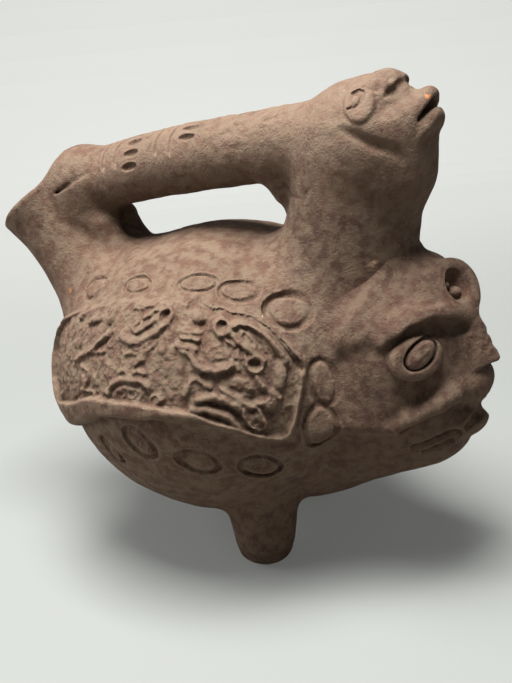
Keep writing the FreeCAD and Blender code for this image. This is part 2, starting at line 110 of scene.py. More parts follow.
def eased(t, stations, values):
    """A value that swells and shrinks smoothly between its stations."""
    stations, values = np.array(stations, float), np.array(values, float)
    slope = np.gradient(values, stations)
    fine = np.linspace(stations[0], stations[-1], 129)
    k = np.clip(np.searchsorted(stations, fine) - 1, 0, len(stations) - 2)
    step = stations[k + 1] - stations[k]
    s = (fine - stations[k]) / step
    table = ((1 + 2 * s) * (1 - s) ** 2 * values[k] + s * s * (3 - 2 * s) * values[k + 1]
             + step * s * (1 - s) * ((1 - s) * slope[k] - s * slope[k + 1]))
    return np.interp(t, fine, table)


def limb(start, axis, stations, radii, drift=None, breadth=1.0):
    """A long limb along an axis in the middle plane: radii and sideways drift at stations."""
    axis = np.array(axis, float) / np.linalg.norm(axis)

    def form(p):
        q = p - np.array(start, np.float32)
        t = q @ axis
        off = q @ np.array((-axis[2], 0.0, axis[0]))
        if drift is not None:
            off = off - eased(t, stations, drift)
        side = (np.hypot(off, q[:, 1] / breadth) - eased(t, stations, radii)) * 0.92
        return -joined(joined(-side, stations[-1] - t, 3.0), t - stations[0], 3.0)

    return form


def lump(middle, semis, pitch=0.0):
    """An egg-shaped lump as a form of its own."""
    return lambda p: egg(p, middle, semis, pitch)


def coil(places, radii):
    """A rolled coil as a form of its own, the same on both flanks."""
    return lambda p: roll(near_side(p), places, radii)


def clay_noise(p, size, seed):
    """Soft lumps from -1 to 1, of a size in millimetres, the same wherever pieces meet."""
    q = p / size + seed * 7.31
    cell = np.floor(q)
    f = (q - cell).astype(np.float32)
    f = f * f * (3 - 2 * f)
    cell = cell.astype(np.int64)
    total = np.zeros(len(p), np.float32)
    for i in (0, 1):
        for j in (0, 1):
            for k in (0, 1):
                h = ((cell[:, 0] + i) * 73856093 ^ (cell[:, 1] + j) * 19349663
                     ^ (cell[:, 2] + k) * 83492791 ^ seed * 2654435) & 0x7FFFFFFF
                h = (h * 1103515245 + 12345 >> 7) & 0xFFFF
                weight = ((f[:, 0] if i else 1 - f[:, 0]) * (f[:, 1] if j else 1 - f[:, 1])
                          * (f[:, 2] if k else 1 - f[:, 2]))
                total += weight * (h / 32767.5 - 1).astype(np.float32)
    return total


def in_turn(work, p, share=60000):
    """The same work on a long list of points, shared out between four hands."""
    parts = [p[i:i + share] for i in range(0, len(p), share)]
    return np.concatenate(list(hands.map(work, parts))) if parts else np.zeros(0, np.float32)


def with_more(clay, form, width, low, high):
    """The clay so far with one more form luted on, or put in its place, inside the form's own box."""
    low, high = np.array(low, np.float32), np.array(high, np.float32)

    def whole(p):
        found = clay(p)
        inside = np.all((p > low) & (p < high), axis=1)
        if inside.any():
            q = p[inside]
            reach = width(q) if callable(width) else width
            found[inside] = form(q) if width is None else joined(found[inside], form(q), reach)
        return found

    return whole


def tucked(skin, edge):
    """A piece's own skin where edge is below zero, diving gently under its neighbour past it."""
    past, deepest = np.clip(edge, 0, None), 4.0
    return np.maximum(skin + 0.12 * past * past, edge - deepest)


def skin_of(form, low, high, grain):
    """Points, triangles and quads where a form's distance is zero, found block by block."""
    grain = grain * grain_share
    block, half_diagonal, to_be_safe = 8, 0.87, 1.7
    low = np.array(low, np.float32)
    count = np.ceil((np.array(high) - low) / grain / block).astype(int)
    cells = np.stack(np.meshgrid(*[np.arange(n) for n in count], indexing="ij"), -1).reshape(-1, 3)
    far = in_turn(form, (low + (cells * block + (block - 1) / 2) * grain).astype(np.float32))
    room = block * grain * half_diagonal * to_be_safe + 2 * grain
    values = np.repeat(far.astype(np.float32)[:, None], block ** 3, axis=1)
    near = np.nonzero(np.abs(far) < room)[0]
    inner = np.stack(np.meshgrid(*[np.arange(block)] * 3, indexing="ij"), -1).reshape(-1, 3)
    spots = (low + (cells[near][:, None, :] * block + inner[None]) * grain).astype(np.float32)
    values[near] = in_turn(form, spots.reshape(-1, 3)).reshape(len(near), -1)
    values = values.reshape(*count, block, block, block).transpose(0, 3, 1, 4, 2, 5)
    values = np.ascontiguousarray(values.reshape(*(count * block)), np.float32)
    grid = openvdb.FloatGrid(float(room))
    grid.copyFromArray(values)
    points, triangles, quads = grid.convertToPolygons(0.0, 0.0)
    return points * grain + low, triangles[:, ::-1], quads[:, ::-1]


def settled(form, p):
    """Points drawn on to the form's skin, then moved in or out by the marks of the hand."""
    step, furthest = 0.2, 1.7
    for _ in range(2):
        reach = form(p)
        slope = np.stack([form(p + d) - reach for d in np.eye(3, dtype=np.float32) * step], 1) / step
        steep = np.clip((slope * slope).sum(1), 0.2, None)
        p = p - np.clip(reach / steep, -furthest, furthest)[:, None] * slope
    return p + (hand_marks(p) / np.sqrt(steep))[:, None] * slope


def hand_marks(p):
    """How far fingers, grit and scraping leave the skin in or out, in millimetres."""
    lumps = 0.42 * clay_noise(p, 17.0, 3) + 0.24 * clay_noise(p, 7.5, 5) + 0.14 * clay_noise(p, 3.4, 9)
    rough = np.zeros(len(p), np.float32)
    for middle, reach in rough_places:
        gap = ((p - np.array(middle, np.float32)) ** 2).sum(1)
        near = gap < (2.5 * reach) ** 2
        rough[near] = np.maximum(rough[near], np.exp(-gap[near] / (reach * reach)))
    grit = 0.8 * clay_noise(p, 2.4, 21) + 0.5 * clay_noise(p, 1.4, 23)
    return lumps + rough * grit


# Places whose skin is broken or gritty: middle and reach in millimetres.
rough_places = [
    ((16, -10, 118), 15), ((36, -8, 119), 11), ((-92, -18, 70), 7), ((88, -13, 134), 6.5),
    ((92, -8, 137), 4.5), ((126, 0, 24), 7), ((121, -6, 1), 8), ((18, -32, -58), 9),
]


def shaped(name, slot, form, low, high, grain, busy=None):
    """One clay piece: its skin, finer where it is busy, with the marks of the hand in it."""
    points, triangles, quads = skin_of(form, low, high, grain)
    mesh = bpy.data.meshes.new(name + "_skin")
    mesh.from_pydata(points.tolist(), [], triangles.tolist() + quads.tolist())
    if busy is not None:
        for _ in range(2):
            work = bmesh.new()
            work.from_mesh(mesh)
            spots = np.array([f.calc_center_median() for f in work.faces], np.float32)
            work.faces.ensure_lookup_table()
            chosen = [work.faces[i] for i in np.nonzero(busy(spots))[0]]
            edges = list({e for f in chosen for e in f.edges})
            bmesh.ops.subdivide_edges(work, edges=edges, cuts=1, use_grid_fill=True)
            work.to_mesh(mesh)
            work.free()
    p = np.empty(len(mesh.vertices) * 3, np.float32)
    mesh.vertices.foreach_get("co", p)
    p = in_turn(lambda q: settled(form, q), p.reshape(-1, 3))
    p[:, 2] = np.clip(p[:, 2], table_level, head_top)
    mesh.vertices.foreach_set("co", ((p + bowl_middle) / 1000).astype(np.float32).ravel())
    mesh.polygons.foreach_set("use_smooth", np.ones(len(mesh.polygons), bool))
    mesh.materials.append(clays[slot])
    mesh.update()
    piece = bpy.data.objects.new(name + "_clay", mesh)
    bpy.context.scene.collection.objects.link(piece)
    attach(piece, "root")
    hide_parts(name)
    pieces.append(piece)
    return piece


def linear(hex_colour, alpha=1.0):
    """A written sRGB colour as the linear one that the shader takes."""
    parts = [int(hex_colour[i:i + 2], 16) / 255 for i in (1, 3, 5)]
    return tuple(c / 12.92 if c <= 0.04045 else ((c + 0.055) / 1.055) ** 2.4 for c in parts) + (alpha,)


def add(tree, kind, settings=None, **links):
    """One more node: its settings, then what its sockets are set to or linked from."""
    node = tree.nodes.new(kind)
    for name, value in (settings or {}).items():
        setattr(node, name, value)
    for name, value in links.items():
        key = int(name[1:]) if name[0] == "_" and name[1:].isdigit() else name.replace("_", " ")
        socket = node.inputs[key]
        if isinstance(value, bpy.types.NodeSocket):
            tree.links.new(value, socket)
        else:
            socket.default_value = value
    return node


def fired_clay(name, dusty=1.0, worn=1.0, roughness=0.82, dirt_and_shade=0.85):
    """Open-fired earthenware, rubbed smooth and then worn matt: one brown body that is redder
    on the mask, with painted shade on the neck and low on the front, darker towards the bottom,
    painted top light that makes upward skin and the upper parts paler, buff earth left in the
    hollows and the deepest of them darkened by dirt and painted shade, fine grit and pinholes,
    thin scratches, and orange where a fresh chip shows the core."""
    made = bpy.data.materials.new(name)
    made.use_nodes = True
    tree = made.node_tree
    tree.nodes.clear()
    spot = add(tree, "ShaderNodeTexCoord").outputs["Object"]

    def noise(size_mm, detail=3.0, rough=0.55, where=spot):
        return add(tree, "ShaderNodeTexNoise", Vector=where, Scale=1000 / size_mm,
                   Detail=detail, Roughness=rough).outputs["Fac"]

    def ramp(value, low, high, low_to=0.0, high_to=1.0):
        return add(tree, "ShaderNodeMapRange", {"interpolation_type": "SMOOTHSTEP"}, Value=value,
                   From_Min=low, From_Max=high, To_Min=low_to, To_Max=high_to).outputs["Result"]

    def mixed(share, a, b, mode="MIX"):
        node = add(tree, "ShaderNodeMix", {"data_type": "RGBA", "blend_type": mode}, _0=share)
        for socket, value in ((node.inputs[6], a), (node.inputs[7], b)):
            if isinstance(value, bpy.types.NodeSocket):
                tree.links.new(value, socket)
            else:
                socket.default_value = linear(value)
        return node.outputs[2]

    def times(a, b, how="MULTIPLY", clamp=False):
        return add(tree, "ShaderNodeMath", {"operation": how, "use_clamp": clamp}, _0=a, _1=b).outputs[0]

    hollow, ridge, up, chip, reddened, painted_shade_and_patches, top_light_and_line_dust = [
        add(tree, "ShaderNodeAttribute", {"attribute_name": word}).outputs["Fac"]
        for word in ("hollow", "ridge", "up", "chip", "reddened", "painted_shade_and_patches", "top_light_and_line_dust")]
    dark, pale, dust = "#5b3f2f", "#e9c2a4", "#d9be9a"
    blotch = noise(46.0, 4.0, 0.6)
    mottle = noise(9.0, 5.0, 0.65)
    speck = noise(1.3, 3.0, 0.7)
    colour = mixed(ramp(blotch, 0.3, 0.7), "#8e6347", "#ac7a59")
    colour = mixed(times(reddened, 0.8), colour, "#8e573c")
    # Painted shade: darker brown on the neck below the head and low on the front by the mask; the bowl is
    # also darker towards the bottom, with a few random patches.
    colour = mixed(painted_shade_and_patches, colour, "#6f4c36")
    # Painted top light: the upper parts are made paler where light falls on them from above; the same mask
    # also lays pale dust in the handle's cut lines.
    colour = mixed(top_light_and_line_dust, colour, "#e9c1a1")
    # The first entry is painted light: skin facing upwards and towards the rear is made paler, skin facing
    # the mask's way darker.
    for value, low, high, share, tint in (
            (up, 0.45, 1.0, 0.3, pale), (mottle, 0.35, 0.75, 0.12, pale), (speck, 0.47, 0.68, 0.42, dark),
            (noise(1.1, 3.0, 0.7), 0.56, 0.74, 0.3, pale), (noise(3.2, 4.0, 0.7), 0.5, 0.7, 0.36, dark),
            (noise(13.0, 5.0, 0.65), 0.48, 0.7, 0.45, dark), (ridge, 0.15, 0.8, 0.5 * worn, pale)):
        colour = mixed(times(ramp(value, low, high), share), colour, tint)
    powder = times(ramp(noise(5.0, 4.0, 0.6), 0.36, 0.62), ramp(hollow, 0.1, 0.4))
    colour = mixed(times(powder, 0.75 * dusty, clamp=True), colour, dust)
    # The deepest hollows are darkened almost to black-brown: partly dirt, partly painted shade.
    colour = mixed(times(ramp(hollow, 0.52, 0.88), dirt_and_shade), colour, "#36261f")
    colour = mixed(times(ramp(times(chip, noise(2.2, 3.0, 0.6)), 0.16, 0.5), 0.9), colour, "#cc7f4c")
    scratch_way = add(tree, "ShaderNodeMapping", Vector=spot, Rotation=(0.4, 0.9, 0.3),
                      Scale=(1.0, 0.06, 1.0)).outputs[0]
    scratch = ramp(noise(0.9, 2.0, 0.5, scratch_way), 0.66, 0.72)
    colour = mixed(times(scratch, 0.1), colour, pale)
    pits = add(tree, "ShaderNodeTexVoronoi", {"feature": "F1"}, Vector=spot, Scale=1000 / 2.4,
               Randomness=1.0).outputs["Distance"]
    pinhole = times(ramp(pits, 0.05, 0.2, 1.0, 0.0), ramp(mottle, 0.5, 0.62))
    colour = mixed(times(pinhole, 0.5), colour, dark)
    shade = add(tree, "ShaderNodeBsdfPrincipled", Base_Color=colour, IOR=1.45,
                Roughness=ramp(mottle, 0.3, 0.7, roughness - 0.08, roughness + 0.1))
    shade.inputs["Specular IOR Level"].default_value = 0.35
    height = times(times(noise(1.1, 4.0, 0.75), 0.8), times(noise(3.0, 4.0, 0.7), 1.1), "ADD")
    height = times(height, times(pinhole, -0.9), "ADD")
    height = times(height, times(scratch, -0.3), "ADD")
    bump = add(tree, "ShaderNodeBump", Height=height, Strength=1.0, Distance=0.0008)
    tree.links.new(bump.outputs[0], shade.inputs["Normal"])
    out = add(tree, "ShaderNodeOutputMaterial")
    tree.links.new(shade.outputs[0], out.inputs["Surface"])
    return made


clays["bowl_clay"] = fired_clay("burnished_terracotta_bowl")

# Stamped ovals: azimuth from the mask in degrees, height, half length and half width, tilt,
# groove width and depth, and how far the top of the pad is pushed in, all in millimetres.
ovals = [
    (144.5, 45, 8.0, 5.8, 40, 1.1, 2.4, 0.6), (110, 53.6, 8.0, 4.8, 6, 1.0, 1.9, 0.3),
    (74.3, 56, 8.6, 5.0, 4, 1.0, 1.9, 0.0), (53.7, 52.7, 8.6, 5.4, -8, 1.1, 2.3, 0.2),
    (37, 42.8, 9.0, 7.4, -42, 1.7, 3.4, 1.5), (32.8, 14.7, 9.6, 5.4, 88, 1.4, 3.2, 0.3),
    (35.6, -3.3, 9.8, 6.4, 84, 1.4, 3.1, 0.2), (53.6, -20.2, 9.2, 5.8, -16, 1.3, 2.8, 1.4),
    (73.3, -15.5, 9.2, 5.4, -20, 1.5, 3.3, 2.4), (92.4, -8.3, 8.8, 5.0, -40, 1.5, 3.3, 2.6),
    (107.2, -17.3, 7.6, 3.6, -48, 1.4, 3.2, 2.6),
]
oval_spots = []
for azimuth, height, long_half, wide_half, tilt, line, depth, sink in ovals:
    level = math.sqrt(1 - (height / bowl_half_height) ** 2)
    a, t = math.radians(azimuth), math.radians(tilt)
    middle = np.array((bowl_radius * level * math.cos(a), -bowl_radius * level * math.sin(a), height))
    out = middle / np.array((bowl_radius ** 2, bowl_radius ** 2, bowl_half_height ** 2))
    out /= np.linalg.norm(out)
    level_way = np.array((math.sin(a), math.cos(a), 0.0))
    up_way = np.cross(level_way, out) * -1
    if up_way[2] < 0:
        up_way = -up_way
    oval_spots.append((middle, level_way, up_way, long_half, wide_half, t, line, depth, sink))


def stamped(p, groove_only=False):
    """How deep the oval stamps have pressed the skin in, on both flanks."""
    q = near_side(p)
    deep = np.zeros(len(p), np.float32)
    for middle, level_way, up_way, long_half, wide_half, t, line, depth, sink in oval_spots:
        gap = q - middle
        near = np.nonzero((gap * gap).sum(1) < 260.0)[0]
        if not len(near):
            continue
        gap = gap[near]
        u, v = gap @ level_way, gap @ up_way
        along, across = u * math.cos(t) + v * math.sin(t), v * math.cos(t) - u * math.sin(t)
        rim = off_oval(along, across, long_half, wide_half) + 0.5 * clay_noise(gap + middle, 5.0, 31)
        strength = depth * (0.85 + 0.45 * clay_noise(gap + middle, 9.0, 33))
        groove = strength * np.sqrt(np.clip(1 - (rim / line) ** 2, 0, 1))
        pad = np.clip(-rim / line - 0.6, 0, 1) * (sink * np.clip(0.5 + v / (wide_half * 1.6), 0, 1) - 0.35)
        deep[near] = np.maximum(deep[near], groove) + (0 if groove_only else pad)
    return deep


bowl_reach = (bowl_radius, bowl_radius, bowl_half_height)
bowl_skin = lump((0, 0, 0), bowl_reach)
bowl_inside = lump((0, 0, 0), [s - bowl_wall for s in bowl_reach])
way_to_spout = limb((-55.8, 0, 16.9), (-0.618, 0, 0.786), (-6, 30, 60, 73, 92), (17.5, 17.5, 17.5, 18.5, 26))


def bowl_hollow(p):
    return joined(bowl_inside(p), way_to_spout(p), 4.0)


def bowl_clay_form(p):
    return bowl_skin(p) + stamped(p)


def near_an_oval(p):
    near = np.zeros(len(p), bool)
    q = near_side(p)
    for middle, _, _, long_half, *_ in oval_spots:
        near |= ((q - middle) ** 2).sum(1) < (long_half + 2.2) ** 2
    return near


clay = bowl_clay_form
for side, y_low, y_high, sign in (("near", -84, 4.5, 1), ("far", -4.5, 84, -1)):
    for dish, z_low, z_high, level in (("lower", -72, 4.5, 1), ("upper", -4.5, 72, -1)):
        def dish_form(p, sign=sign, level=level):
            edge = -joined(-sign * p[:, 1], -level * p[:, 2], 0.5)
            return np.maximum(tucked(bowl_clay_form(p), edge), -bowl_hollow(p))

        shaped(f"bowl_{dish}_{side}", "bowl_clay", dish_form,
               (-85, y_low, z_low), (85, y_high, z_high), 1.45, near_an_oval)

# THE SPOUT: a thick flaring tube luted on to the rear shoulder, open to the bowl, with a
# rounded lip. It was wiped on with wet clay, so its foot runs out smoothly on the bowl.
spout_axis = np.array((-0.618, 0.0, 0.786))
spout_length, rim_line = 81.5, 72.5
spout_start = np.array((-106.2, 0.0, 81.0)) - spout_axis * spout_length
spout_skin = limb(spout_start, spout_axis, (-8, 12, 34, 52, 66, 76, spout_length),
                  (33, 31, 26.5, 24, 23.8, 25.2, 26.4))
spout_bore = limb(spout_start, spout_axis, (-4, 30, 60, 73, 96), (17.5, 17.5, 17.5, 19, 25))
bare_bowl = clay
clay = with_more(clay, spout_skin, 22.0, (-140, -62, -30), (-10, 62, 120))


def spout_tube_form(p):
    foot = spout_skin(p) - 20.5
    along = (p - spout_start) @ spout_axis
    skin = tucked(tucked(clay(p), foot), along - rim_line)
    return -joined(joined(-skin, spout_bore(p), 2.0), bare_bowl(p) + 4.0, 1.0)


def spout_rim_form(p):
    along = (p - spout_start) @ spout_axis
    return -joined(-tucked(clay(p), rim_line - along), spout_bore(p), 3.0)


shaped("spout_tube", "bowl_clay", spout_tube_form, (-128, -58, -12), (-22, 58, 104), 1.2)
shaped("spout_rim", "bowl_clay", spout_rim_form, (-132, -30, 54), (-78, 30, 108), 0.9)

# THE NECK: a wide oval tube of clay that flares out on the front shoulder of the bowl and
# carries the animal's head. It is darker with painted shade, and smoothed with the thumbs.
clays["upper_clay"] = fired_clay("smoothed_terracotta_upper_part")
neck_skin = limb((58, 0, 0), (0, 0, 1), (-4, 14, 30, 46, 62, 78, 94, 108, 116),
                 (50, 44, 38, 34, 31.2, 29.8, 29.0, 27, 24),
                 (0, -1, -2.5, -5.0, -7.6, -10.6, -13.5, -16.5, -18.5), 0.96)
before_neck = clay
clay = with_more(clay, neck_skin, 20.0, (-26, -85, -45), (140, 85, 150))


def above_neck(p):
    """Millimetres above the slanting joint between the neck and the head."""
    return p[:, 2] - 92.0 - 0.25 * (p[:, 0] - 70.0)


def neck_form(p):
    skin = tucked(head_skin(p), neck_skin(p) - 18.5)
    skin = tucked(skin, above_neck(p))
    return np.maximum(skin, -(before_neck(p) + 4.0))


# THE ANIMAL HEAD: a hollow ball of clay tipped back on the neck, with a blunt muzzle that
# looks up and forward. The jaw and throat are a pad of clay pressed on below it.
skull_middle, skull_reach = np.array((79.0, 0.0, 111.0)), np.array((30.0, 29.0, 28.0))
skull_hollow = lump((78, 0, 111), (20, 20, 17))
jowl_skin = lump((91.0, 0, 97.5), (13.6, 20.5, 17.0), 8)
nose_pad = lump((88.0, 0, 132.3), (8.4, 12.5, 6.0), -28)

# The slit under the nose pad, the dip between it and the upper lip, the crease behind the jaw,
# and the open line left where the handle's lug was pressed on to the neck.
nose_slit = coil([(91.2, -13.5, 130.4), (92.8, -9.0, 132.3), (94.8, -3.0, 134.7), (95.6, 0.0, 135.4)],
                 [0.4, 1.2, 1.5, 1.3])
saddle = coil([(99.4, 0, 134.6), (98.4, -8, 132.8), (96.4, -14, 130.4), (92.5, -21, 127.0)],
              [3.0, 3.6, 4.0, 3.0])
jaw_crease = coil([(77.0, -28.2, 118.8), (83.0, -27.6, 116.4), (89.4, -25.9, 112.6), (95.4, -22.8, 110.4),
                   (100.4, -19.2, 105.4)], [0.3, 1.2, 1.7, 1.5, 0.4])
lug_crease = coil([(54.6, -26.2, 86.6), (58.6, -27.0, 92.2), (64.4, -28.8, 98.6)], [1.2, 1.7, 0.4])


def on_lump(middle, reach, yaw, pitch, lift=0.0):
    """A point on a lump's near side, by yaw from the front and pitch upwards, lifted off it."""
    y, p = math.radians(yaw), math.radians(pitch)
    way = np.array((math.cos(p) * math.cos(y), -math.cos(p) * math.sin(y), math.sin(p)))
    out = way / reach
    return middle + reach * way + lift * out / np.linalg.norm(out)


def flat_on(p, middle, out, along):
    """Millimetres along and across a small patch of skin, seen square on."""
    across = np.cross(out, along)
    across /= np.linalg.norm(across)
    along = np.cross(across, out)
    gap = near_side(p) - middle
    return gap @ along, gap @ across


def skull_skin(p):
    ball = egg(p, (76, 0, 110), (30, 29, 26.5), 30)
    muzzle = roll(p, [(76, 0, 111), (89, 0, 117), (95.5, 0, 120)], [24.0, 16.0, 9.5])
    return joined(ball, muzzle, 6.0)


def drooping(p):
    """Space bent so that what lies level in it hangs at both sides of the muzzle."""
    return p + np.array((0, 0, 0.035), np.float32) * (p[:, 1:2] ** 2)


def upper_lip_skin(p):
    return egg(drooping(p), (102.4, 0, 127.6), (5.0, 11.0, 4.3), 30)


def lower_lip_skin(p):
    return egg(drooping(p), (103.6, 0, 119.2), (6.0, 12.0, 4.8), 28)


def head_cuts(p):
    """The steep open slot of the mouth and the slit under the nose."""
    return np.minimum(egg(drooping(p), (103.5, 0, 124.3), (9.5, 11.5, 2.5), 22), nose_slit(p))


clay = with_more(clay, skull_skin, 9.0, (30, -50, 62), (140, 50, 160))
with_skull = clay
clay = with_more(clay, jowl_skin, 7.0, (62, -45, 68), (130, 45, 132))
clay = with_more(clay, nose_pad, 3.0, (70, -28, 112), (112, 28, 150))
clay = with_more(clay, upper_lip_skin, 3.0, (84, -26, 108), (124, 26, 144))
clay = with_more(clay, lower_lip_skin, 3.0, (86, -26, 100), (124, 26, 136))
lip_clay = clay


def head_carved(p):
    skin = carved(lip_clay(p), head_cuts(p), 1.2)
    skin = carved(skin, saddle(p), 4.0)
    return carved(carved(skin, jaw_crease(p), 3.0), lug_crease(p), 1.0)


clay = with_more(lip_clay, head_carved, None, (50, -40, 82), (126, 40, 152))
head_skin = clay


def skull_form(p):
    skin = tucked(head_skin(p), skull_skin(p) - 7.5)
    skin = tucked(skin, -above_neck(p))
    for other in (jowl_skin, nose_pad, upper_lip_skin, lower_lip_skin):
        skin = tucked(skin, -other(p))
    return np.maximum(skin, -skull_hollow(p))


shaped("neck_tube", "upper_clay", neck_form, (0, -66, -12), (106, 66, 108), 1.2)
shaped("animal_skull", "upper_clay", skull_form, (42, -34, 78), (112, 34, 142), 0.8)
shaped("animal_jowl", "upper_clay",
       lambda p: np.maximum(tucked(head_skin(p), jowl_skin(p)), -(with_skull(p) + 5.0)),
       (70, -30, 74), (114, 30, 122), 0.8)
for name, own, low, high in (
        ("animal_snout", nose_pad, (76, -20, 116), (106, 20, 145)),
        ("animal_upper_lip", upper_lip_skin, (90, -18, 116), (114, 18, 138)),
        ("animal_lower_lip", lower_lip_skin, (92, -18, 106), (116, 18, 130))):
    shaped(name, "upper_clay", lambda p, own=own: tucked(head_skin(p), own(p)), low, high, 0.6)

# THE EYES: a disc of clay pressed on to each side of the head, its rim smoothed down, with a
# hooked line scraped round a flat bead in its middle.
eye_middle = on_lump(skull_middle, skull_reach, 84, 42)
eye_out = np.array((0.08, -0.72, 0.69))
eye_out /= np.linalg.norm(eye_out)
eye_up = np.array((0.15, 0.66, 0.74))


def eye_patch(p):
    v, u = flat_on(p, eye_middle, eye_out, eye_up)
    return -u, v, head_skin(p)


def eye_disc(u, v, half_short, half_long):
    """Millimetres outside an upright oval on the eye's patch."""
    short, long = (u - 0.7) * 0.92 + (v - 0.3) * 0.38, (v - 0.3) * 0.92 - (u - 0.7) * 0.38
    return off_oval(short, long, half_short, half_long)


def coil_skin(p):
    """A low disc, thicker at its rim, with the hooked line cut into it."""
    u, v, height = eye_patch(p)
    outline = eye_disc(u, v, 6.7, 10.2)
    disc = -joined(-outline, 1.5 - height - 0.05 * np.clip(outline + 2.5, -4, 4) ** 2, 1.6)
    flat = np.stack((u, v, np.zeros_like(u)), 1)
    hook = roll(flat, [(-2.4, 3.0, 0), (-1.3, 4.9, 0), (0.6, 4.6, 0), (1.8, 1.6, 0), (1.7, -0.8, 0),
                       (0.4, -3.2, 0), (-2.2, -5.0, 0)], [0.9, 0.6, 0.7, 0.8, 0.8, 0.8, 0.3])
    return carved(disc, np.maximum(hook, 0.3 - height), 0.5)


def bead_skin(p):
    u, v, height = eye_patch(p)
    bead = np.sqrt((u + 1.0) ** 2 + ((v + 0.4) / 1.5) ** 2 + (height * 1.6) ** 2) - 2.5
    return carved(bead, np.sqrt((u + 1.6) ** 2 + (v - 3.4) ** 2 + (height - 1.4) ** 2) - 1.1, 0.5)


def laid_on_head(form):
    """A form pressed on the head's skin, diving under it past its own edge."""
    def whole(p):
        own = form(p)
        return np.maximum(joined(head_skin(p), own, 0.7) + 0.04 * np.clip(own, 0, None) ** 2, own - 1.5)

    return whole


for side, y_low, y_high in (("near", -34, 0), ("far", 0, 34)):
    for name, form in (("eye_coil", coil_skin), ("eye_bead", bead_skin)):
        shaped(f"{name}_{side}", "upper_clay", laid_on_head(form), (66, y_low, 116), (96, y_high, 142), 0.5)
clay = with_more(clay, lambda p: np.minimum(coil_skin(p), bead_skin(p)), 0.7, (62, -36, 112), (98, 36, 144))

# THE HANDLE: a thick roll of clay bridged from a knob on the spout to the back of the head,
# with a small web below its front end. Paired lines and short gouges are cut across its top.
knob_skin = lump((-77, 0, 88.4), (20, 18.5, 18.8), 14)
web_skin = coil([(-76, -5, 78), (-64, -8, 70), (-57, -9, 61)], [12.0, 8.0, 5.0])
bridge_skin = limb((0, 0, 0), (1, 0, 0), (-82, -62, -40, -12, 12, 30, 46, 60),
                   (14.5, 15.4, 16.0, 16.2, 16.3, 16.5, 17.6, 19.4),
                   (87.5, 92.0, 96.6, 101.6, 105.0, 107.4, 108.6, 109.0))
knob_upper_crease = coil([(-91, -8, 86), (-83, -17, 87), (-73, -18.5, 92), (-64, -15, 97)],
                         [0.5, 0.9, 0.9, 0.3])
knob_lower_crease = coil([(-72, -18, 76), (-63, -16, 79), (-57, -12, 77), (-55, -10, 70)],
                         [0.4, 1.1, 1.6, 1.0])
cut_level = 84


def lug_skin(p):
    q = p * np.array((1, 0.75, 1), np.float32)
    return roll(q, [(32, 0, 100), (38, 0, 88), (47, 0, 74)], [9.5, 7.5, 4.0])


before_knob = clay
clay = with_more(clay, knob_skin, 7.0, (-112, -34, 56), (-42, 34, 122))
clay = with_more(clay, web_skin, 6.0, (-100, -34, 44), (-36, 34, 100))
before_bridge = clay
clay = with_more(clay, bridge_skin, 6.0, (-104, -36, 54), (88, 36, 148))
clay = with_more(clay, lug_skin, 4.0, (14, -24, 58), (64, 24, 122))
plain_handle = clay


def handle_turn(p):
    """Degrees round the handle from its top, towards the near side."""
    middle_height = np.interp(p[:, 0], (-82, -12, 60), (87.5, 101.6, 109.0))
    return np.degrees(np.arctan2(-p[:, 1], p[:, 2] - middle_height))


def handle_lines(p):
    """Share of each curved line cut round the handle, 1 in its middle."""
    turn, found = handle_turn(p), np.zeros(len(p), np.float32)
    for x, low, high in ((-56.5, -20, 74), (-49.0, -20, 74), (-25.0, -24, 70), (-17.0, -24, 76)):
        lean = x + 0.0007 * (turn - 20) ** 2
        gate = np.clip((turn - low) / 9, 0, 1) * np.clip((high - turn) / 9, 0, 1)
        found = np.maximum(found, gate * np.exp(-((p[:, 0] - lean) / 0.9) ** 2))
    return np.where(p[:, 2] > cut_level, found, 0)


def handle_cuts(p):
    """Depth of the marks cut in the handle's near upper side: lines round it and gouges along it."""
    turn, deep = handle_turn(p), 1.3 * handle_lines(p)
    for x, turns in ((-38.5, (4, 30, 53, 76)), (-7.5, (2, 24, 46))):
        for at in turns:
            along, across = (p[:, 0] - x) / 4.4, (turn - at) * 0.28 / 2.0
            deep = np.maximum(deep, 2.0 * np.sqrt(np.clip(1 - along ** 2 - across ** 2, 0, 1)))
    return np.where(p[:, 2] > cut_level, deep, 0)


def handle_creases(p):
    return np.minimum(np.minimum(knob_upper_crease(p), knob_lower_crease(p)), lug_crease(p))


def handle_carved(p):
    skin = plain_handle(p)
    inside = (p[:, 0] < 70) & (p[:, 2] > 60) & (np.abs(p[:, 1]) < 34)
    if inside.any():
        q = p[inside]
        skin[inside] = carved(skin[inside] + handle_cuts(q), handle_creases(q), 1.4)
    return skin


clay = handle_carved


def is_marked(p):
    return (p[:, 0] > -62) & (p[:, 0] < 0) & (p[:, 1] < 10) & (p[:, 2] > 88)


def knob_form(p):
    skin = tucked(clay(p), np.minimum(knob_skin(p) - 6.0, web_skin(p) - 5.0))
    skin = tucked(skin, -bridge_skin(p))
    return np.maximum(skin, -(before_knob(p) + 4.0))


def bridge_form(p):
    skin = tucked(tucked(clay(p), bridge_skin(p) - 5.0), 0.5 - lug_skin(p))
    return np.maximum(skin, -(before_bridge(p) + 4.0))


shaped("handle_knob", "upper_clay", knob_form, (-106, -28, 50), (-44, 28, 112), 1.0)
shaped("handle_bridge", "upper_clay", bridge_form, (-90, -28, 62), (72, 28, 134), 1.2, is_marked)
shaped("handle_lug", "upper_clay",
       lambda p: np.maximum(tucked(clay(p), lug_skin(p) - 0.5), -(before_bridge(p) + 4.0)),
       (20, -18, 66), (58, 18, 104), 0.8)

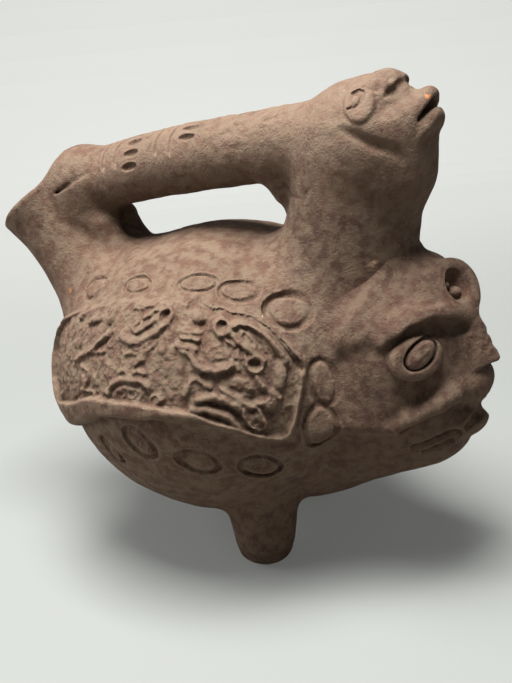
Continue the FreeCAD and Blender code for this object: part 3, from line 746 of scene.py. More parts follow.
# THE MASK: a forehead slab and a jaw slab pressed over the front of the bowl, hollow behind,
# with features added as pads and coils. It is redder, darker with painted shade low on the front, and rubbed
# by handling.
clays["mask_clay"] = fired_clay("rubbed_red_brown_mask", dusty=0.8)
face_middle, face_reach = np.array((84.0, 0.0, 12.0)), np.array((37.0, 41.0, 50.0))
face_egg = lump(face_middle, face_reach)
face_hollow = lump((86, 0, 12), (25, 30, 38))
upper_lip = lump((118.6, 0, 4.8), (12.0, 15.5, 10.8), 6)
lower_lip = lump((114.5, 0, -12.0), (13.6, 14.0, 10.0), -4)
chin_skin = lump((98.0, 0, -19.0), (22.5, 26, 18.0))


def ring_skin(p):
    """The round boss on the forehead, a thick ring turned a little aside, its middle sunk."""
    q = (p - np.array((111.6, 0, 45.6), np.float32)) @ turned(28, 26)
    away = np.hypot(q[:, 1], q[:, 2])
    disc = np.maximum(away - 12.8, np.abs(q[:, 0] + 3.0) - 7.0)
    return joined(disc, np.hypot(away - 9.6, q[:, 0] - 2.2) - 3.8, 2.5)


def boss_hollow(p):
    """The hollow in the boss and the small crumb of clay left in it."""
    r = (p - np.array((116.8, -3.6, 49.6), np.float32)) @ turned(24, 40)
    crumb = np.minimum(egg(r, (-6.4, 0.6, -2.6), (3.6, 2.8, 2.6)), egg(r, (-6.6, -2.8, 1.0), (3.0, 1.8, 2.0)))
    return egg(r, (0, 0, 0), (7.8, 6.6, 7.8)), crumb


def nose_skin(p):
    """A great wedge of a nose: two flat flanks running out on the cheeks, and a ledge below."""
    side = np.sqrt(p[:, 1] ** 2 + 5.0) - 1.2
    flank = 0.625 * (p[:, 0] - 125.0) + 0.723 * side + 0.294 * (p[:, 2] - 36.5)
    under = (15.4 + 0.1 * (p[:, 0] - 133.5) - 0.215 * side - p[:, 2]) / 1.03
    back = (98.0 - p[:, 0]) * 0.95
    above = (0.45 * (p[:, 0] - 122.0) + p[:, 2] - 38.0) * 0.9
    return -joined(joined(joined(-flank, -under, 2.2), -back, 3.0), -above, 5.0)


def forehead_pad(p):
    """The smooth swelling above the brows, out to the edge of the slab."""
    front = egg(p, (99.0, 0, 46.0), (16.6, 22.0, 14.0), -12)
    above_brows = (p[:, 2] - 34.0 - 0.35 * (p[:, 0] - 90.0)) * 0.94
    wide = -joined(-egg(p, (84.0, 0, 18.0), (38.0, 42.0, 44.4)), above_brows, 5.0)
    return joined(front, wide, 5.0)


def face_line(*turns, lift=1.0):
    """Places on the face by yaw from the front and pitch upwards."""
    return [on_lump(face_middle, face_reach, yaw, pitch, lift) for yaw, pitch in turns]


brow_line = face_line((72, 23.5), (63, 29), (50, 33.5), (38, 35), (22, 32.5), (6, 29), lift=0.6)
under_brow = face_line((75, 17), (66, 22), (53, 27), (38, 28), (24, 25), (11, 22), lift=2.4)
fold_line = face_line((66, -20), (57, -14.5), (41, -9.5), (27, -7), (15, -5), lift=2.2)
fold_cut = face_line((63, -23.5), (57, -19), (50, -16.5), (40, -14.5), (30, -14), lift=1.6)
jaw_turns = ((53, -35), (44, -33), (36, -31), (26, -30), (17, -29))
chin_turns = ((45, -38), (37, -36.5), (29, -35), (21, -33.5))
scored_lines = [
    (((62, -24), (57, -20.5), (50, -18), (41, -16), (32, -15), (26, -14.5)), 1.3, 3.4),
    (jaw_turns, 1.1, 2.2), (chin_turns, 1.0, 1.8),
]
cheek_cuts = [face_line(*jaw_turns, lift=3.2), face_line(*chin_turns, lift=4.2)]
edge_line = [(97.0, 0, 62.0), (93.5, -12.0, 61.0), (90.6, -17.2, 59.3), (88.0, -25.2, 52.6),
             (85.2, -30.6, 46.6), (80.6, -35.2, 40.4), (76.2, -37.8, 33.8), (74.0, -39.0, 26.0)]
edge_cut = [(90.0, 0, 68.0), (88.0, -12.0, 66.5), (84.5, -19.0, 63.0), (82.0, -27.0, 57.0),
            (79.6, -33.0, 50.5), (75.5, -38.0, 43.5)]
eye_spot = on_lump(face_middle, face_reach, 49, 14.5)
eye_front = (eye_spot - face_middle) / face_reach ** 2
eye_front /= np.linalg.norm(eye_front)
eye_along = np.array((0.72, 0.69, 0.05))
brow_skin = coil(brow_line, [2.0, 4.6, 5.4, 5.4, 5.0, 4.5])
fold_skin = coil(fold_line, [1.6, 3.6, 4.4, 4.2, 2.4])
edge_skin = coil(edge_line, [1.2, 1.4, 1.6, 1.8, 1.8, 1.6, 1.2, 0.5])
slab_cut = coil(edge_cut, [1.2, 2.4, 3.2, 3.2, 2.6, 1.0])
broken_lip = [(128.4, 0, -5.5), (126.5, -5, -9.0), (122.5, -11.0, -13.6)]
scar = [(105.9, -19.2, 54.6), (109.3, -16.0, 55.6), (112.4, -16.4, 51.8), (114.2, -17.4, 47.8),
        (111.4, -22.8, 47.0), (107.0, -25.4, 47.4)]


def plain_face(p):
    """The slab with its pads, before the eyes and the cuts."""
    skin = face_egg(p)
    for own, width in ((chin_skin, 9.0), (forehead_pad, 6.0), (edge_skin, 4.0), (nose_skin, 4.0),
                       (upper_lip, 3.0), (lower_lip, 3.5), (brow_skin, 5.0), (fold_skin, 4.0),
                       (ring_skin, 3.0)):
        skin = joined(skin, own(p), width)
    return skin


def lid_patch(p):
    u, v = flat_on(p, eye_spot, eye_front, eye_along)
    return u, -v


def pellet_edge(p, length, breadth):
    """Millimetres outside the pellet's oval outline, seen square on."""
    u, v = lid_patch(p)
    a = math.radians(-28)
    u, v = u - 0.5, v + 1.9
    along, across = u * math.cos(a) + v * math.sin(a), v * math.cos(a) - u * math.sin(a)
    return off_oval(along, across, length, breadth)


def lids_skin(p):
    """A low almond of clay laid round the eye, with a moat cut in it for the pellet."""
    u, v = lid_patch(p)
    u = u + 0.8
    outline = off_oval(u, v + 0.5, 12.4, 9.1)
    height = face_egg(p) - 3.4 + 0.06 * np.clip(u, -12, 12) + 0.035 * np.clip(outline + 3.0, -6, 6) ** 2
    slab = -joined(-outline, -height, 2.0)
    return carved(slab, np.maximum(pellet_edge(p, 9.0, 5.8), -1.2 - face_egg(p)), 0.9)


def pellet_skin(p):
    outline = pellet_edge(p, 7.7, 4.5)
    height = face_egg(p) - 3.5 - 0.03 * np.clip(outline, -5, 0) ** 2
    return -joined(-outline, -height, 1.8)


yaw_mm, pitch_mm = 0.65, 0.85


def scored(p, turns, width, depth):
    """Depth of a line scored on the face through turns of yaw and pitch."""
    q = (near_side(p) - face_middle) / face_reach
    yaw = np.degrees(np.arctan2(-q[:, 1], q[:, 0]))
    pitch = np.degrees(np.arctan2(q[:, 2], np.hypot(q[:, 0], q[:, 1])))
    line = [(y * yaw_mm, t * pitch_mm, 0) for y, t in turns]
    gap = roll(np.stack((yaw * yaw_mm, pitch * pitch_mm, yaw * 0), 1), line, [0.0] * len(turns))
    return depth * np.exp(-(gap / width) ** 2)


def face_carved(p):
    skin = plain_face(p)
    hollow, crumb = boss_hollow(p)
    skin = joined(carved(skin, hollow, 0.8), crumb, 0.6)
    for turns, width, depth in scored_lines:
        skin = skin + scored(p, turns, width, depth)
    q = near_side(p)
    skin = carved(skin, roll(q, under_brow, [1.0, 2.4, 3.8, 4.6, 4.6, 3.0]), 2.0)
    u, v = lid_patch(p)
    close = np.abs(face_egg(p) - 1) < 7
    skin = skin + close * (2.0 * np.clip(1.4 - np.hypot(u / 11.0, v / 8.0), 0, 1) ** 2)
    skin = skin + close * 3.4 * np.clip(0.8 - pellet_edge(p, 8.8, 5.6), 0, 1)
    hollow = ((q - np.array(face_line((49, -1))[0], np.float32)) ** 2).sum(1)
    skin = skin + 3.0 * np.exp(-hollow / 60.0)
    for places, radii, width in (
            (fold_cut, [0.4, 1.4, 1.9, 2.2, 1.6], 0.8), (cheek_cuts[0], [0.3, 1.3, 1.7, 1.4, 0.5], 1.3),
            (cheek_cuts[1], [0.3, 1.2, 1.3, 0.4], 1.3), (broken_lip, [2.6, 3.6, 1.6], 1.6),
            (scar, [0.9, 2.0, 2.6, 2.6, 1.8, 0.6], 1.0)):
        skin = carved(skin, roll(q, places, radii), width)
    return skin


def whole_face(p):
    return joined(np.minimum(face_carved(p), lids_skin(p)), pellet_skin(p), 0.4)


# The pad that fills the angle between the chin and the belly.
before_throat = clay
throat_skin = lump((64, 0, -28), (40, 34, 24), 34)
clay = with_more(clay, throat_skin, 14.0, (10, -60, -85), (130, 60, 20))
plain_front = clay


def clay_behind(p):
    """The clay that the mask was pressed on, with the cut made along the slab's edge."""
    return carved(plain_front(p), slab_cut(p), 4.0)


def mask_width(p):
    """A sharp step to the neck above, and a smoothed joint to the bowl below."""
    return np.clip(2.0 + (26.0 - p[:, 2]) * 0.3, 2.0, 15.0)


clay = with_more(clay_behind, whole_face, mask_width, (40, -60, -60), (150, 60, 84))


def mask_part(own, gap, depth=5.0):
    def form(p):
        behind = np.maximum(clay_behind(p), plain_face(p) - 30)
        return np.maximum(tucked(clay(p), own(p) - gap), -(behind + depth))

    return form


def mask_slab(sign):
    def form(p):
        skin = tucked(clay(p), whole_face(p) - mask_width(p) * 0.92)
        skin = tucked(skin, sign * (p[:, 2] - 12.0))
        for other in (ring_skin, nose_skin, brow_skin, fold_skin):
            skin = tucked(skin, 0.5 - other(p))
        return np.maximum(np.maximum(skin, -(clay_behind(p) + 4.0)), -face_hollow(p))

    return form


for name, form, low, high, grain in (
        ("mask_forehead", mask_slab(-1), (50, -52, 4), (126, 52, 72), 0.8),
        ("mask_jaw", mask_slab(1), (50, -52, -52), (130, 52, 20), 0.8),
        ("mask_forehead_ring", mask_part(ring_skin, 0.5), (92, -20, 26), (128, 20, 66), 0.6),
        ("mask_nose", mask_part(nose_skin, 0.5), (98, -24, 0), (136, 24, 40), 0.7),
        ("mask_upper_lip", mask_part(upper_lip, 1.0), (104, -20, -10), (130, 20, 12), 0.6),
        ("mask_lower_lip", mask_part(lower_lip, 1.0), (98, -20, -28), (132, 20, 2), 0.6),
        ("mask_chin", mask_part(chin_skin, 1.0), (72, -32, -44), (124, 32, 6), 0.9)):
    shaped(name, "mask_clay", form, low, high, grain)


def throat_form(p):
    skin = tucked(tucked(clay(p), throat_skin(p) - 9.0), 1.5 - whole_face(p))
    return np.maximum(skin, -(before_throat(p) + 3.0))


shaped("mask_throat", "mask_clay", throat_form, (28, -52, -74), (112, 52, 4), 1.2)
for side, low_y, high_y in (("near", -48, 2), ("far", -2, 48)):
    for name, own, gap, low, high in (
            ("mask_brow", brow_skin, 0.5, (88, 24), (126, 50)),
            ("mask_cheek", fold_skin, 0.5, (86, -24), (126, 10)),
            ("mask_lids", lids_skin, 0.3, (86, 6), (126, 40)),
            ("mask_pellet", pellet_skin, 0.3, (90, 10), (122, 36))):
        shaped(f"{name}_{side}", "mask_clay", mask_part(own, gap), (low[0], low_y, low[1]),
               (high[0], high_y, high[1]), 0.6)

# THE FEET: three stub cones pushed on to the belly and left as the fingers shaped them, each
# with a collar of slurry smeared round its top.
clays["foot_clay"] = fired_clay("rough_terracotta_foot", dusty=0.8, roughness=0.88)
foot_tops = {"foot_near": (27.9, -33.6), "foot_far": (22.1, 35.3), "foot_rear": (-32.8, 13.1)}
foot_length, foot_root = 87.0, 38.0
before_feet = clay


def stub(x, y):
    """One stub cone, leaning in a little under the belly."""
    def form(p):
        q = p - np.array((x, y, 0), np.float32)
        q = q - np.clip((q[:, 2:3] + foot_length) / 44, 0, 1.2) * np.array(((x, y, 0),), np.float32) * 0.1
        radius = eased(q[:, 2], (-87, -84.5, -79, -68, -50, -40), (7.0, 10.8, 13.6, 15.4, 17.2, 17.8))
        away = np.hypot(q[:, 0], q[:, 1]) - radius
        return -joined(joined(-away * 0.9, q[:, 2] + foot_length, 3.0), -foot_root - q[:, 2], 3.0)

    return form


def foot_form(foot):
    return lambda p: np.maximum(foot(p), -(before_feet(p) + 3.0))


def collar_form(foot):
    def form(p):
        smeared = tucked(joined(before_feet(p), foot(p), 6.0), foot(p) - 5.4)
        return np.maximum(smeared, -np.minimum(foot(p) + 1.5, before_feet(p) + 3.0))

    return form


for name, (x, y) in foot_tops.items():
    foot = stub(x, y)
    clay = with_more(clay, foot, 3.5, (x - 32, y - 32, -95), (x + 32, y + 32, -20))
    shaped(name, "foot_clay", foot_form(foot), (x - 22, y - 22, -87.2), (x + 24, y + 22, -34), 0.9)
    shaped(name + "_collar", "foot_clay", collar_form(foot), (x - 30, y - 30, -74), (x + 30, y + 30, -28),
           0.9)

# THE RELIEF PANELS: a thick slab of clay on each flank, pressed in a mould with a leaf, a
# standing bird, a cartouche and a seated figure, then framed by rolls smoothed on to the bowl.
# Places are millimetres along the flank from its middle, towards the mask, and up it.
clays["relief_clay"] = fired_clay("dusty_terracotta_relief", dusty=1.2, worn=1.1)
frame_outline = [
    (-62.9, -13.1), (-62.2, -14.8), (-35.5, -4.3), (-23.0, 2.1), (-12.8, 4.2), (-2.2, 4.9), (7.4, 6.0),
    (16.1, 5.1), (26.8, 1.6), (34.8, -2.1), (46.1, -6.6), (60.7, -10.8), (71.3, -10.8), (75.4, 0.3),
    (78.5, 11.6), (82.1, 22.2), (83.1, 27.5), (81.4, 31.9), (78.0, 35.9), (70.0, 40.3), (63.8, 44.9),
    (51.5, 49.1), (37.9, 51.9), (22.8, 53.6), (5.9, 54.6), (-11.7, 53.5), (-31.9, 51.4), (-44.8, 48.6),
    (-58.1, 44.4), (-76, 40), (-84, 30), (-88, 16), (-86, 2), (-78, -10),
]
recess_outline = [
    (-70, -6), (-78, 4), (-82, 16), (-79, 30), (-69, 37.2), (-59.2, 42.8), (-43.7, 44.8), (-36.5, 47.3),
    (-34.2, 49.7), (-25.2, 50.2), (-16.7, 50.9), (-12.4, 51.9), (-2.0, 51.5), (10.2, 52.6), (16.8, 51.4),
    (22.0, 49.5), (26.2, 50.3), (30.4, 48.8), (35.6, 47.4), (42.2, 46.6), (47.0, 45.4), (53.6, 44.1),
    (58.9, 42.3), (62.9, 39.8), (66.3, 36.9), (69.9, 33.5), (72.1, 30.2), (73.9, 26.9), (74.9, 23.2),
    (73.7, 18.6), (71.5, 12.6), (68.7, 5.3), (66.4, -1.6), (63.5, -5.6), (57.7, -3.9), (52.3, -1.6),
    (47.8, 0.7), (44.8, 2.7), (38.7, 4.5), (33.1, 6.9), (26.9, 9.5), (23.2, 10.0), (19.8, 10.4), (14.3, 10.9),
    (6.8, 11.9), (1.2, 12.2), (-6.9, 11.9), (-12.4, 11.3), (-18.3, 10.6), (-25.0, 10.4), (-32.7, 7.8),
    (-45.3, 2.1),
]
raised_bars = [
    (((-47.2, 21.9), (-39.6, 26.7), (-33.5, 29.2), (-30.1, 33.4), (-25.7, 36.4)), 1.7, 2.0),
    (((-32.1, 28.3), (-25.0, 30.2)), 1.0, 1.2), (((-37.0, 11.2), (-26.4, 11.3)), 1.1, 1.4),
    (((-40.9, 21.0), (-33.1, 20.3), (-33.0, 16.1), (-35.2, 11.2)), 1.0, 1.3),
    (((-63.4, 14.3), (-65.7, 24.5), (-70.5, 30.3)), 0.9, 0.8), (((-14.1, 47.9), (-6.0, 48.1)), 1.0, 1.3),
    (((-12.0, 49.4), (-2.5, 50.5)), 1.0, 1.3), (((-6.7, 49.1), (0.1, 49.7)), 0.8, 1.5),
    (((-2.3, 51.1), (6.1, 52.1)), 0.9, 1.2), (((3.0, 50.2), (8.8, 50.8)), 0.8, 1.5),
    (((1.6, 48.3), (10.1, 49.4), (11.5, 51.3)), 1.1, 1.6),
    (((3.9, 45.2), (0.3, 43.0), (-3.4, 40.9), (-6.6, 40.1), (-9.0, 41.1), (-7.7, 42.6)), 1.1, 1.9),
    (((-4.1, 45.4), (0.0, 46.9)), 1.3, 1.5),
    (((-14.4, 37.9), (-9.8, 36.6), (-3.7, 36.0), (1.7, 38.1), (6.8, 40.8), (9.1, 42.9)), 1.6, 2.2),
    (((-12.4, 32.3), (-9.5, 31.1), (-7.0, 32.2), (-5.0, 31.3), (-1.9, 31.9), (-0.1, 33.2), (3.6, 33.3),
     (6.1, 35.7)), 0.8, 1.4),
    (((-11.9, 34.2), (-8.1, 33.9), (-4.5, 33.5), (-1.3, 33.8), (1.5, 35.4), (3.3, 36.6)), 0.7, 1.2),
    (((2.3, 32.3), (-0.4, 30.1), (-2.1, 28.2)), 1.6, 1.9), (((-9.9, 30.3), (-9.1, 27.4)), 1.6, 1.7),
    (((-11.2, 23.7), (-8.0, 25.3), (-5.6, 23.7)), 1.1, 1.5),
    (((-3.5, 24.3), (-0.6, 25.8), (2.6, 24.6)), 1.3, 1.6),
    (((-16.0, 14.4), (-14.5, 18.4), (-10.7, 20.8), (-4.3, 21.9), (1.8, 22.0), (5.4, 19.8)), 1.5, 2.2),
    (((-12.4, 11.8), (2.2, 12.9)), 0.8, 1.0), (((20.7, 41.2), (30.0, 40.8)), 0.9, 2.0),
    (((20.1, 39.2), (29.6, 38.3)), 1.1, 2.2), (((18.1, 36.3), (23.3, 35.8), (28.3, 35.1)), 1.2, 2.0),
    (((20.2, 34.4), (24.8, 33.0)), 1.0, 1.4),
    (((26.2, 33.0), (28.4, 29.8), (31.8, 27.6), (37.6, 27.0), (44.0, 28.2)), 1.9, 2.8),
    (((46.6, 42.7), (49.6, 43.8), (54.3, 43.1), (59.4, 40.5), (63.1, 37.1), (65.7, 33.5), (67.6, 30.3),
     (68.6, 27.6)), 1.7, 2.9),
    (((44.9, 40.5), (47.7, 37.6), (51.6, 34.1), (55.4, 31.2), (58.9, 29.0)), 1.5, 2.4),
    (((42.8, 37.9), (46.9, 35.1)), 0.9, 1.8),
    (((54.8, 22.1), (58.2, 17.4), (61.1, 14.8), (63.4, 13.2)), 1.6, 2.2),
    (((53.6, 12.1), (56.4, 12.1), (58.7, 13.4)), 1.0, 2.4),
    (((39.2, 19.4), (43.0, 17.2), (46.7, 14.5), (50.4, 11.7)), 1.4, 2.3),
    (((28.9, 15.6), (35.8, 16.6), (40.4, 15.3), (46.0, 11.8)), 1.9, 2.9),
    (((25.8, 11.4), (31.4, 11.7), (37.2, 9.7), (41.7, 7.7), (45.3, 3.2)), 1.8, 2.9),
    (((22.8, 17.5), (26.2, 22.9), (29.2, 24.0), (31.2, 21.7), (34.4, 20.1)), 1.2, 1.8),
]
raised_lumps = [
    ((-31.0, 50.0), (-26.4, 39.8), 2.9, 2.3), ((-53.6, 43.0), (-57.2, 37.5), 2.4, 1.7),
    ((-48.1, 38.2), (-38.2, 41.5), 2.0, 1.6), ((-40.6, 20.2), (-34.3, 11.9), 2.6, 1.5),
    ((-61.9, 2.4), (-67.7, -4.9), 1.8, 1.3), ((8.4, 34.5), (13.0, 34.0), 2.2, 1.3),
    ((-19.7, 14.1), (-16.0, 14.8), 1.6, 1.5), ((11.4, 16.0), (13.1, 12.5), 1.6, 1.5),
    ((25.1, 48.8), (30.7, 44.5), 2.9, 2.3), ((32.8, 32.9), (44.4, 31.9), 4.3, 1.3),
    ((66.9, 27.8), (63.7, 15.7), 2.7, 2.4), ((43.1, 22.9), (54.2, 17.6), 3.0, 1.6),
    ((54.7, 11.6), (63.2, 12.2), 3.6, 2.4), ((25.5, 14.4), (29.2, 14.8), 2.0, 2.0),
    ((44.8, 27.9), (48.7, 25.8), 1.7, 1.2), ((49.1, 11.5), (54.8, 0.2), 3.4, 2.2),
]
raised_rings = [
    ((5.0, 45.9), (13.1, 46.2), 2.8, 0.9, 1.9), ((-13.0, 14.2), (1.9, 15.9), 3.2, 0.6, 1.5),
    ((-11.6, 14.6), (-6.9, 15.2), 1.6, 0.5, 1.4), ((-4.8, 15.7), (-0.5, 16.0), 1.6, 0.5, 1.4),
    ((6.6, 14.8), (11.6, 14.8), 1.9, 0.7, 1.4), ((-7.9, 41.9), (-4.9, 42.6), 1.0, 0.5, 1.2),
    ((-11.6, 33.5), (-8.1, 33.7), 1.1, 0.5, 1.2), ((-6.8, 33.5), (-3.5, 33.6), 1.1, 0.5, 1.2),
    ((2.0, 35.5), (5.0, 36.0), 1.2, 0.5, 1.3), ((37.3, 42.6), (44.4, 42.1), 2.6, 1.1, 2.2),
    ((50.3, 39.8), (56.1, 33.6), 1.6, 0.6, 1.8), ((47.6, 32.2), (51.4, 31.7), 1.7, 0.6, 1.5),
    ((51.1, 28.3), (57.9, 26.9), 3.0, 1.0, 2.1), ((49.1, 11.5), (54.8, 0.2), 3.3, 1.1, 2.7),
    ((45.0, 30.1), (47.9, 29.1), 1.3, 0.6, 1.3),
]
cut_lines = [
    (((51.0, 41.2), (55.1, 38.6), (58.6, 33.7), (60.4, 29.9)), 0.9, 1.2),
    (((31.6, 13.6), (35.5, 12.4), (42.8, 10.4), (45.4, 9.0)), 0.8, 2.2),
    (((25.7, 9.5), (30.4, 7.9), (34.6, 6.3), (39.5, 4.4)), 0.9, 2.4),
    (((31.3, 25.0), (36.2, 23.7), (42.0, 24.9)), 1.2, 1.2), (((35.4, 34.2), (40.7, 34.9)), 0.6, 0.9),
    (((41.2, 34.7), (43.5, 33.7)), 0.6, 0.9), (((37.4, 29.9), (42.7, 30.3)), 0.7, 1.0),
    (((36.7, 32.4), (38.8, 32.3)), 0.6, 0.8), (((40.9, 42.9), (41.8, 42.8)), 1.1, 1.6),
    (((53.8, 28.0), (55.2, 27.5)), 1.3, 2.2), (((49.3, 33.1), (50.5, 33.0)), 0.8, 1.3),
    (((50.9, 9.2), (52.5, 9.1)), 1.3, 1.8), (((51.8, 4.7), (52.6, 4.0)), 0.8, 1.3),
    (((29.3, 43.5), (31.8, 42.8)), 1.0, 1.6), (((48.6, 0.6), (53.1, -1.0), (55.6, -0.4)), 0.9, 2.2),
    (((57.8, 17.1), (57.0, 14.5)), 1.1, 1.3), (((51.4, 14.0), (53.8, 14.1)), 0.8, 1.2),
    (((64.4, 28.2), (66.2, 28.6)), 0.7, 1.5), (((43.8, 39.2), (48.2, 34.8), (53.7, 31.1)), 0.5, 0.7),
    (((-31.1, 29.7), (-27.8, 33.0), (-22.7, 36.1)), 0.8, 1.6), (((-34.9, 26.9), (-24.4, 29.0)), 0.8, 0.9),
    (((8.4, 46.1), (9.4, 46.3)), 1.0, 1.7), (((-7.1, 42.1), (-5.8, 42.6)), 0.7, 1.3),
    (((-8.0, 33.5), (-6.3, 33.6)), 0.7, 1.1), (((-10.5, 33.9), (-9.6, 33.9)), 0.5, 0.9),
    (((6.0, 44.5), (9.6, 43.6), (13.1, 44.5)), 0.6, 1.0),
    (((-4.1, 39.9), (0.6, 42.3), (3.1, 44.5)), 0.6, 1.1),
    (((-5.1, 35.3), (0.5, 37.0), (5.2, 39.2), (9.3, 41.4)), 0.6, 0.9),
    (((1.5, 31.1), (5.0, 33.9), (7.1, 35.8)), 0.8, 1.1), (((-7.2, 15.5), (-6.7, 15.3)), 0.6, 0.9),
    (((-4.6, 16.0), (-4.1, 15.7)), 0.6, 0.9), (((4.5, 15.8), (7.8, 16.9)), 0.8, 1.0),
    (((11.8, 12.4), (13.6, 14.1)), 0.7, 1.2), (((-47.6, 35.1), (-39.4, 38.3), (-35.8, 39.7)), 0.8, 0.9),
    (((-40.5, 41.5), (-39.1, 42.1)), 0.6, 0.9), (((20.2, 45.9), (22.0, 44.6)), 0.7, 1.0),
    (((12.9, 40.7), (13.7, 40.5)), 0.5, 0.7), (((-49.1, 17.4), (-45.5, 18.0)), 0.7, 1.0),
    (((-47.4, 26.1), (-44.2, 25.2)), 0.8, 1.1), (((-45.0, 32.4), (-42.0, 31.9)), 0.6, 0.9),
    (((-46.2, 3.3), (-38.9, 7.9), (-27.9, 11.0)), 0.7, 1.2), (((-71.0, 2.2), (-69.8, -0.6)), 0.8, 1.2),
    (((-67.6, -4.3), (-66.6, -6.5)), 0.9, 1.3), (((-82.8, 26.9), (-83.9, 27.7)), 0.8, 1.0),
]
stippled = [
    ((-21.4, 34.4), (-14.9, 35.3), (-13.9, 26.4), (-16.9, 22.0), (-21.0, 14.3), (-25.4, 13.3), (-26.0, 20.3),
     (-23.1, 25.7), (-22.4, 30.8)),
    ((-21.7, 43.8), (-10.5, 45.3), (-11.6, 43.1), (-16.4, 40.2), (-20.4, 37.5), (-21.6, 40.3)),
    ((8.5, 28.0), (12.9, 31.1), (16.4, 33.0), (21.6, 31.3), (24.8, 27.0), (24.8, 23.3), (21.0, 19.5),
     (18.0, 16.7), (14.5, 18.5), (11.3, 22.6), (7.9, 25.0)),
    ((57.7, 5.7), (64.9, 4.8), (65.8, 1.6), (63.8, -4.2), (58.9, -3.7), (56.9, 1.1)),
    ((31.8, 40.8), (37.5, 40.9), (36.9, 38.6), (32.8, 36.3)),
]
fine, flank_radius = 0.25, 84.0
flank_along, flank_up = np.arange(-97.0, 92.0, fine), np.arange(-24.0, 64.0, fine)
along, up = np.meshgrid(flank_along, flank_up, indexing="ij")
flank_spots = np.stack((along, up, along * 0), -1).reshape(-1, 3).astype(np.float32)


def flat_noise(size, seed):
    return clay_noise(flank_spots, size, seed).reshape(along.shape)


def gap_to(line):
    """Millimetres over the flank to a line drawn on it."""
    found = np.full(along.shape, 1e3)
    for (x0, y0), (x1, y1) in zip(line, line[1:] or line):
        dx, dy = x1 - x0, y1 - y0
        share = np.clip(((along - x0) * dx + (up - y0) * dy) / (dx * dx + dy * dy + 1e-9), 0, 1)
        found = np.minimum(found, np.hypot(along - x0 - share * dx, up - y0 - share * dy))
    return found


def within(outline):
    """Millimetres inside a closed outline, below zero outside it."""
    inside = np.zeros(along.shape, bool)
    for (x0, y0), (x1, y1) in zip(outline, outline[1:] + outline[:1]):
        inside ^= ((y0 > up) != (y1 > up)) & (along < (x1 - x0) * (up - y0) / (y1 - y0 + 1e-9) + x0)
    return np.where(inside, 1, -1) * gap_to(outline + outline[:1])


def oval_share(start, end, half):
    """How far out of an oval a spot lies, 1 on its edge, and the millimetres from that edge."""
    length = math.hypot(end[0] - start[0], end[1] - start[1]) / 2
    way = ((end[0] - start[0]) / length / 2, (end[1] - start[1]) / length / 2)
    u, v = along - (start[0] + end[0]) / 2, up - (start[1] + end[1]) / 2
    u, v = u * way[0] + v * way[1], v * way[0] - u * way[1]
    size = np.sqrt((u / length) ** 2 + (v / half) ** 2) + 1e-6
    return size, np.abs(off_oval(u, v, length, half))


def heaped(figures, gap, radius, height):
    """A rounded ridge laid on the figures so far, melting a little into them."""
    top = height * np.sqrt(np.clip(1 - (gap / radius) ** 2, 0, 1))
    ridge = np.where(gap < radius, top, (radius - gap) * 2)
    return -joined(-figures, -ridge, 0.4)


def worn_down(heights, times):
    """A map of heights rubbed softer, so many times over."""
    for _ in range(times):
        heights[1:-1] = heights[1:-1] * 0.5 + (heights[2:] + heights[:-2]) * 0.25
        heights[:, 1:-1] = heights[:, 1:-1] * 0.5 + (heights[:, 2:] + heights[:, :-2]) * 0.25


def wandering(seeds):
    """Whole steps of the map by which the worn outlines wander."""
    return (2.4 * flat_noise(4.0, seeds[0]) + 1.6 * flat_noise(1.7, seeds[1])).astype(int)


figures = 0.25 * flat_noise(9.0, 51) + 0.12 * flat_noise(2.2, 53)
for start, end, half, height in raised_lumps:
    size, _ = oval_share(start, end, half)
    figures = heaped(figures, size * half, half, height)
for line, radius, height in raised_bars:
    figures = heaped(figures, gap_to(line), radius, height)
for start, end, half, radius, height in raised_rings:
    figures = heaped(figures, oval_share(start, end, half)[1], radius, height)
pricked = np.max([within(list(outline)) for outline in stippled], axis=0)
figures = figures - 0.35 * np.clip(pricked / 0.8 + 0.5, 0, 1)
for line, radius, depth in cut_lines:
    figures = figures - depth * np.exp(-(gap_to(list(line)) / radius) ** 2)

# The mould was worn and the slip has crumbled, so the figures wander, soften and pit.
rows, columns = along.shape
i_moved = np.clip(np.arange(rows)[:, None] + wandering((62, 64)), 0, rows - 1)
j_moved = np.clip(np.arange(columns)[None, :] + wandering((66, 68)), 0, columns - 1)
figures = figures[i_moved, j_moved]
worn_down(figures, 6)
figures = figures + 0.34 * flat_noise(2.3, 55) + 0.34 * flat_noise(1.4, 57) + 0.14 * flat_noise(0.8, 59)

recess = within(recess_outline) + 0.45 * flat_noise(5.0, 71) + 0.2 * flat_noise(1.8, 73)
rise = within(frame_outline) + 0.5 * flat_noise(11.0, 75)
softness = np.clip(np.maximum((along - 6) / 24, (up - 22) / 14), 0, 1)
edge = 2.4 + 5.5 * softness
lift = np.clip((rise + 1.2) / (edge + 1.2), 0, 1)
rounded, sloping = np.sqrt(1 - (1 - lift) ** 2), lift * lift * (3 - 2 * lift)
frame_level = -1.6 + 6.9 * (rounded * (1 - softness) + sloping * softness)
wall = np.clip(recess / 1.2, 0, 1)
wall = wall * wall * (3 - 2 * wall)
level = frame_level * (1 - wall) + np.minimum(2.1 + figures, frame_level + 0.4) * wall
crack = gap_to(recess_outline[recess_outline.index((22.0, 49.5)):recess_outline.index((73.7, 18.6))])
level = level - 2.4 * np.exp(-((crack - 0.5) / 0.9) ** 2) * (recess > -0.9)
level = level + 3.2 * np.clip((-38 - along) / 40, 0, 1) ** 1.5 * np.clip((rise + 1.2) / 6, 0, 1)
worn_down(level, 1)
relief_maps = np.stack((level, recess, pricked), -1).astype(np.float32)


